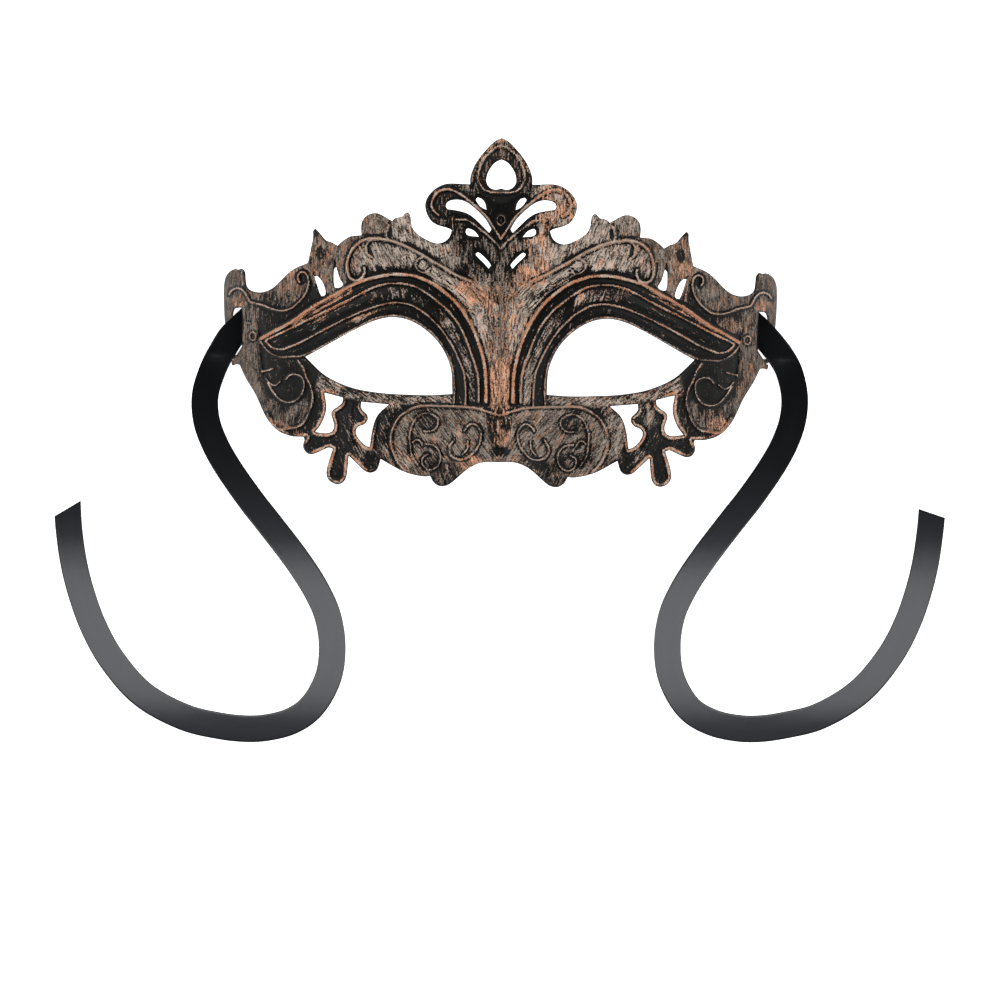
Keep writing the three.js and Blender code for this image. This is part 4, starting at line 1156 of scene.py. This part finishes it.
# %% Paint of the fields
PLASTIC_BLACK = (0.003, 0.003, 0.0027, 1)
THIN_BROWN = (0.03, 0.023, 0.017, 1)
BEIGE = (0.41, 0.334, 0.279, 1)
COPPER = (0.56, 0.29, 0.18, 1)
GROOVE_BARE = -0.8             # cover that a groove takes away
STREAK_WARMTH = 3
COPPER_FROM = (1.85, 2.25)     # warmth at which the paint turns from beige to copper


def attribute(tree, name, output="Fac"):
    node = tree.nodes.new("ShaderNodeAttribute")
    node.attribute_name = name
    return node.outputs[output]


painted = bpy.data.materials.new("painted_plastic")
painted.use_nodes = True
tree = painted.node_tree
surface = tree.nodes["Principled BSDF"]
brush = tree.nodes.new("ShaderNodeGroup")
brush.node_tree = strokes
cover_left = math_node(
    tree, "MULTIPLY_ADD", attribute(tree, "groove"), GROOVE_BARE, attribute(tree, "cover"))
link(tree, attribute(tree, "brush", "Vector"), brush.inputs["Place"])
link(tree, cover_left, brush.inputs["Cover"])
link(tree, attribute(tree, "lightness"), brush.inputs["Lightness"])
paint = brush.outputs["Paint"]
warm = math_node(tree, "MULTIPLY_ADD", brush.outputs["Streak"], STREAK_WARMTH, attribute(tree, "warmth"))
field_hue = mix_colour(tree, ramp(tree, warm, *COPPER_FROM), BEIGE, COPPER)
field_colour = mix_colour(tree, brush.outputs["Thickness"], THIN_BROWN, field_hue)
field_colour = mix_colour(tree, paint, PLASTIC_BLACK, field_colour)
print("nodes of the fields:", len(tree.nodes))

# %% [markdown]
# The raised lines were rubbed again, so they have a paint of their own, which skips in short dashes
# where the brush jumped.

# %% Paint of the raised lines
PALE_LINE = (0.45, 0.34, 0.27, 1)
COPPER_LINE = (0.41, 0.18, 0.095, 1)
FINE_SKIP = 1.2
CLUMP_SKIP = 0.9
LINE_PAINT_FROM = (1.58, 1.85)     # rub and skips at which a line shows its paint
LINE_COPPER_FROM = (1.8, 2.4)
LINE_SWING = (2.2, -0.25)

line_skips = math_node(tree, "MULTIPLY", brush.outputs["Fine"], FINE_SKIP)
line_skips = math_node(tree, "MULTIPLY_ADD", brush.outputs["Clump"], CLUMP_SKIP, line_skips)
rubbed = math_node(tree, "ADD", line_skips, attribute(tree, "copper"))
rubbed = ramp(tree, rubbed, *LINE_PAINT_FROM)
line_hue = mix_colour(tree, ramp(tree, warm, *LINE_COPPER_FROM), PALE_LINE, COPPER_LINE)
line_tone = math_node(tree, "MULTIPLY_ADD", brush.outputs["Fine"], *LINE_SWING)
line_colour = mix_colour(tree, line_tone, THIN_BROWN, line_hue)
link(tree, mix_colour(tree, rubbed, field_colour, line_colour), surface.inputs["Base Color"])
print("nodes with the raised lines:", len(tree.nodes))

# %% [markdown]
# Dry paint is rougher than the plastic and stands up a little, and the copper on the lines shines
# faintly as metal does. The plastic mirrors little of the room, so its black stays deep.

# %% Gloss and grain of the paint
ROUGHNESS = (0.2, 0.36)        # added by the paint, and of the bare plastic
LINE_METAL = 0.2
GRAIN_STRENGTH = 0.5
GRAIN_HEIGHT = 0.00012         # metres
FINE_GRAIN = 0.8
PLASTIC_GLOSS = 0.07

link(tree, math_node(tree, "MULTIPLY_ADD", paint, *ROUGHNESS), surface.inputs["Roughness"])
link(tree, math_node(tree, "MULTIPLY", rubbed, LINE_METAL), surface.inputs["Metallic"])
bump = tree.nodes.new("ShaderNodeBump")
bump.inputs["Strength"].default_value = GRAIN_STRENGTH
bump.inputs["Distance"].default_value = GRAIN_HEIGHT
grain = math_node(tree, "MULTIPLY", brush.outputs["Fine"], FINE_GRAIN)
link(tree, math_node(tree, "ADD", paint, grain), bump.inputs["Height"])
link(tree, bump.outputs[0], surface.inputs["Normal"])
surface.inputs["Specular IOR Level"].default_value = PLASTIC_GLOSS
mask_mesh.materials.append(painted)
print("painted plastic nodes:", len(tree.nodes))

# %% [markdown]
# Satin is woven so that long threads lie on its face, which gives it a soft sheen. The weave shows as
# fine ribs across the tape, and a slow cloud along it makes the black and the sheen a little uneven.
# Both read the UV map in millimetres, so they follow the tape round its bends.

# %% Satin ribbon
SATIN_DEEP = (0.009, 0.0097, 0.0112, 1)
SATIN_PALE = (0.012, 0.0129, 0.0147, 1)
CLOUD_SCALE = (0.05, 0.3, 1)
RIB_SCALE = 1.1
RIB_HEIGHT = 0.00008               # metres
SATIN_ROUGHNESS = (0.05, 0.19)     # added by the cloud, and least
SATIN_GLOSS = 0.12

satin = bpy.data.materials.new("satin_ribbon")
satin.use_nodes = True
tree = satin.node_tree
surface = tree.nodes["Principled BSDF"]
uv = tree.nodes.new("ShaderNodeUVMap")
uv.uv_map = "weave"
threads = tree.nodes.new("ShaderNodeTexWave")
threads.wave_type = "BANDS"
threads.bands_direction = "X"
threads.inputs["Scale"].default_value = RIB_SCALE
threads.inputs["Distortion"].default_value = 0.6
threads.inputs["Detail"].default_value = 1
link(tree, uv.outputs["UV"], threads.inputs["Vector"])
cloud = stretched_noise(tree, uv.outputs["UV"], CLOUD_SCALE, 3)
satin_colour = mix_colour(tree, cloud, SATIN_DEEP, SATIN_PALE)
link(tree, satin_colour, surface.inputs["Base Color"])
link(tree, math_node(tree, "MULTIPLY_ADD", cloud, *SATIN_ROUGHNESS), surface.inputs["Roughness"])
surface.inputs["Specular IOR Level"].default_value = SATIN_GLOSS
bump = tree.nodes.new("ShaderNodeBump")
bump.inputs["Strength"].default_value = 0.15
bump.inputs["Distance"].default_value = RIB_HEIGHT
link(tree, threads.outputs["Fac"], bump.inputs["Height"])
link(tree, bump.outputs[0], surface.inputs["Normal"])
for piece in ribbon_pieces.values():
    piece.data.materials.append(satin)
print("satin nodes:", len(tree.nodes))

# %% [markdown]
# The studio is a sheet of white paper in a pale room. The paper glows a little, so that the underside of
# the mask and the paper round it stay white, as on a light table.

# %% Paper floor and surround
FLOOR_REACH = 6                # metres from the middle to each side
PAPER = {
    "Base Color": (0.9, 0.9, 0.9, 1),
    "Roughness": 0.9,
    "Emission Color": (1, 1, 1, 1),
    "Emission Strength": 0.9,
}
SURROUND = {"Color": (1, 1, 1, 1), "Strength": 0.2}

bm = bmesh.new()
bmesh.ops.create_grid(bm, x_segments=1, y_segments=1, size=FLOOR_REACH)
floor_mesh = bpy.data.meshes.new("floor")
bm.to_mesh(floor_mesh)
bm.free()
floor = bpy.data.objects.new("floor", floor_mesh)
bpy.context.scene.collection.objects.link(floor)
paper = bpy.data.materials.new("paper")
paper.use_nodes = True
for socket, value in PAPER.items():
    paper.node_tree.nodes["Principled BSDF"].inputs[socket].default_value = value
floor_mesh.materials.append(paper)

world = bpy.data.worlds.new("studio")
world.use_nodes = True
for socket, value in SURROUND.items():
    world.node_tree.nodes["Background"].inputs[socket].default_value = value
bpy.context.scene.world = world
bpy.context.scene.view_settings.view_transform = "Standard"
print("floor in metres:", [round(value, 2) for value in floor.dimensions])

# %% [markdown]
# Four softboxes stand round the table and light the relief from every side. One lamp would throw hard
# shadows, which a product picture doesn't have. Black satin would mirror the softboxes as bright
# patches, so the ribbons are left out of their light.

# %% Softboxes
TABLE_MIDDLE = (0, -0.06, 0)
SOFTBOXES = [
    # name, place and size in metres, power in watts
    ("side softbox", (-1.5, 0.1, 1.1), (1.2, 1.2), 23),
    ("side softbox", (1.5, 0.1, 1.1), (1.2, 1.2), 23),
    ("back softbox", (-0.2, 1.5, 1.1), (1.6, 1.0), 23),
    ("front softbox", (0.2, -1.6, 1.1), (1.6, 1.0), 17),
]


def soft_light(name, place, target, size, watts):
    """A rectangular area light that faces a point."""
    data = bpy.data.lights.new(name, "AREA")
    data.shape = "RECTANGLE"
    data.size, data.size_y = size
    data.energy = watts
    lamp = bpy.data.objects.new(name, data)
    lamp.location = place
    lamp.rotation_euler = (Vector(target) - Vector(place)).to_track_quat("-Z", "Y").to_euler()
    bpy.context.scene.collection.objects.link(lamp)
    return lamp


ribbons_out = bpy.data.collections.new("not for the softboxes")
for piece in ribbon_pieces.values():
    ribbons_out.objects.link(piece)
for member in ribbons_out.collection_objects:
    member.light_linking.link_state = "EXCLUDE"
for name, place, size, watts in SOFTBOXES:
    softbox = soft_light(name, place, TABLE_MIDDLE, size, watts)
    softbox.light_linking.receiver_collection = ribbons_out
print("softboxes:", len(SOFTBOXES), "with", sum(row[-1] for row in SOFTBOXES), "watts in all")

# %% [markdown]
# Satin shows its sheen only where a light mirrors in it. A narrow light close over the table gives the
# lower bends of the ribbons their grey sheen, and leaves the part near the mask black.

# %% Sheen light of the ribbons
SHEEN_MIDDLE = (0, -0.1075)
SHEEN_HEIGHT = 0.027
SHEEN_SIZE = (0.345, 0.051)
SHEEN_WATTS = 0.43

sheen_light = soft_light(
    "ribbon light", (*SHEEN_MIDDLE, SHEEN_HEIGHT), (*SHEEN_MIDDLE, 0), SHEEN_SIZE, SHEEN_WATTS)
sheen_light.visible_camera = False
ribbon_group = bpy.data.collections.new("lit ribbons")
for piece in ribbon_pieces.values():
    ribbon_group.objects.link(piece)
sheen_light.light_linking.receiver_collection = ribbon_group
print("lights:", sorted(lamp.name for lamp in bpy.data.lights))
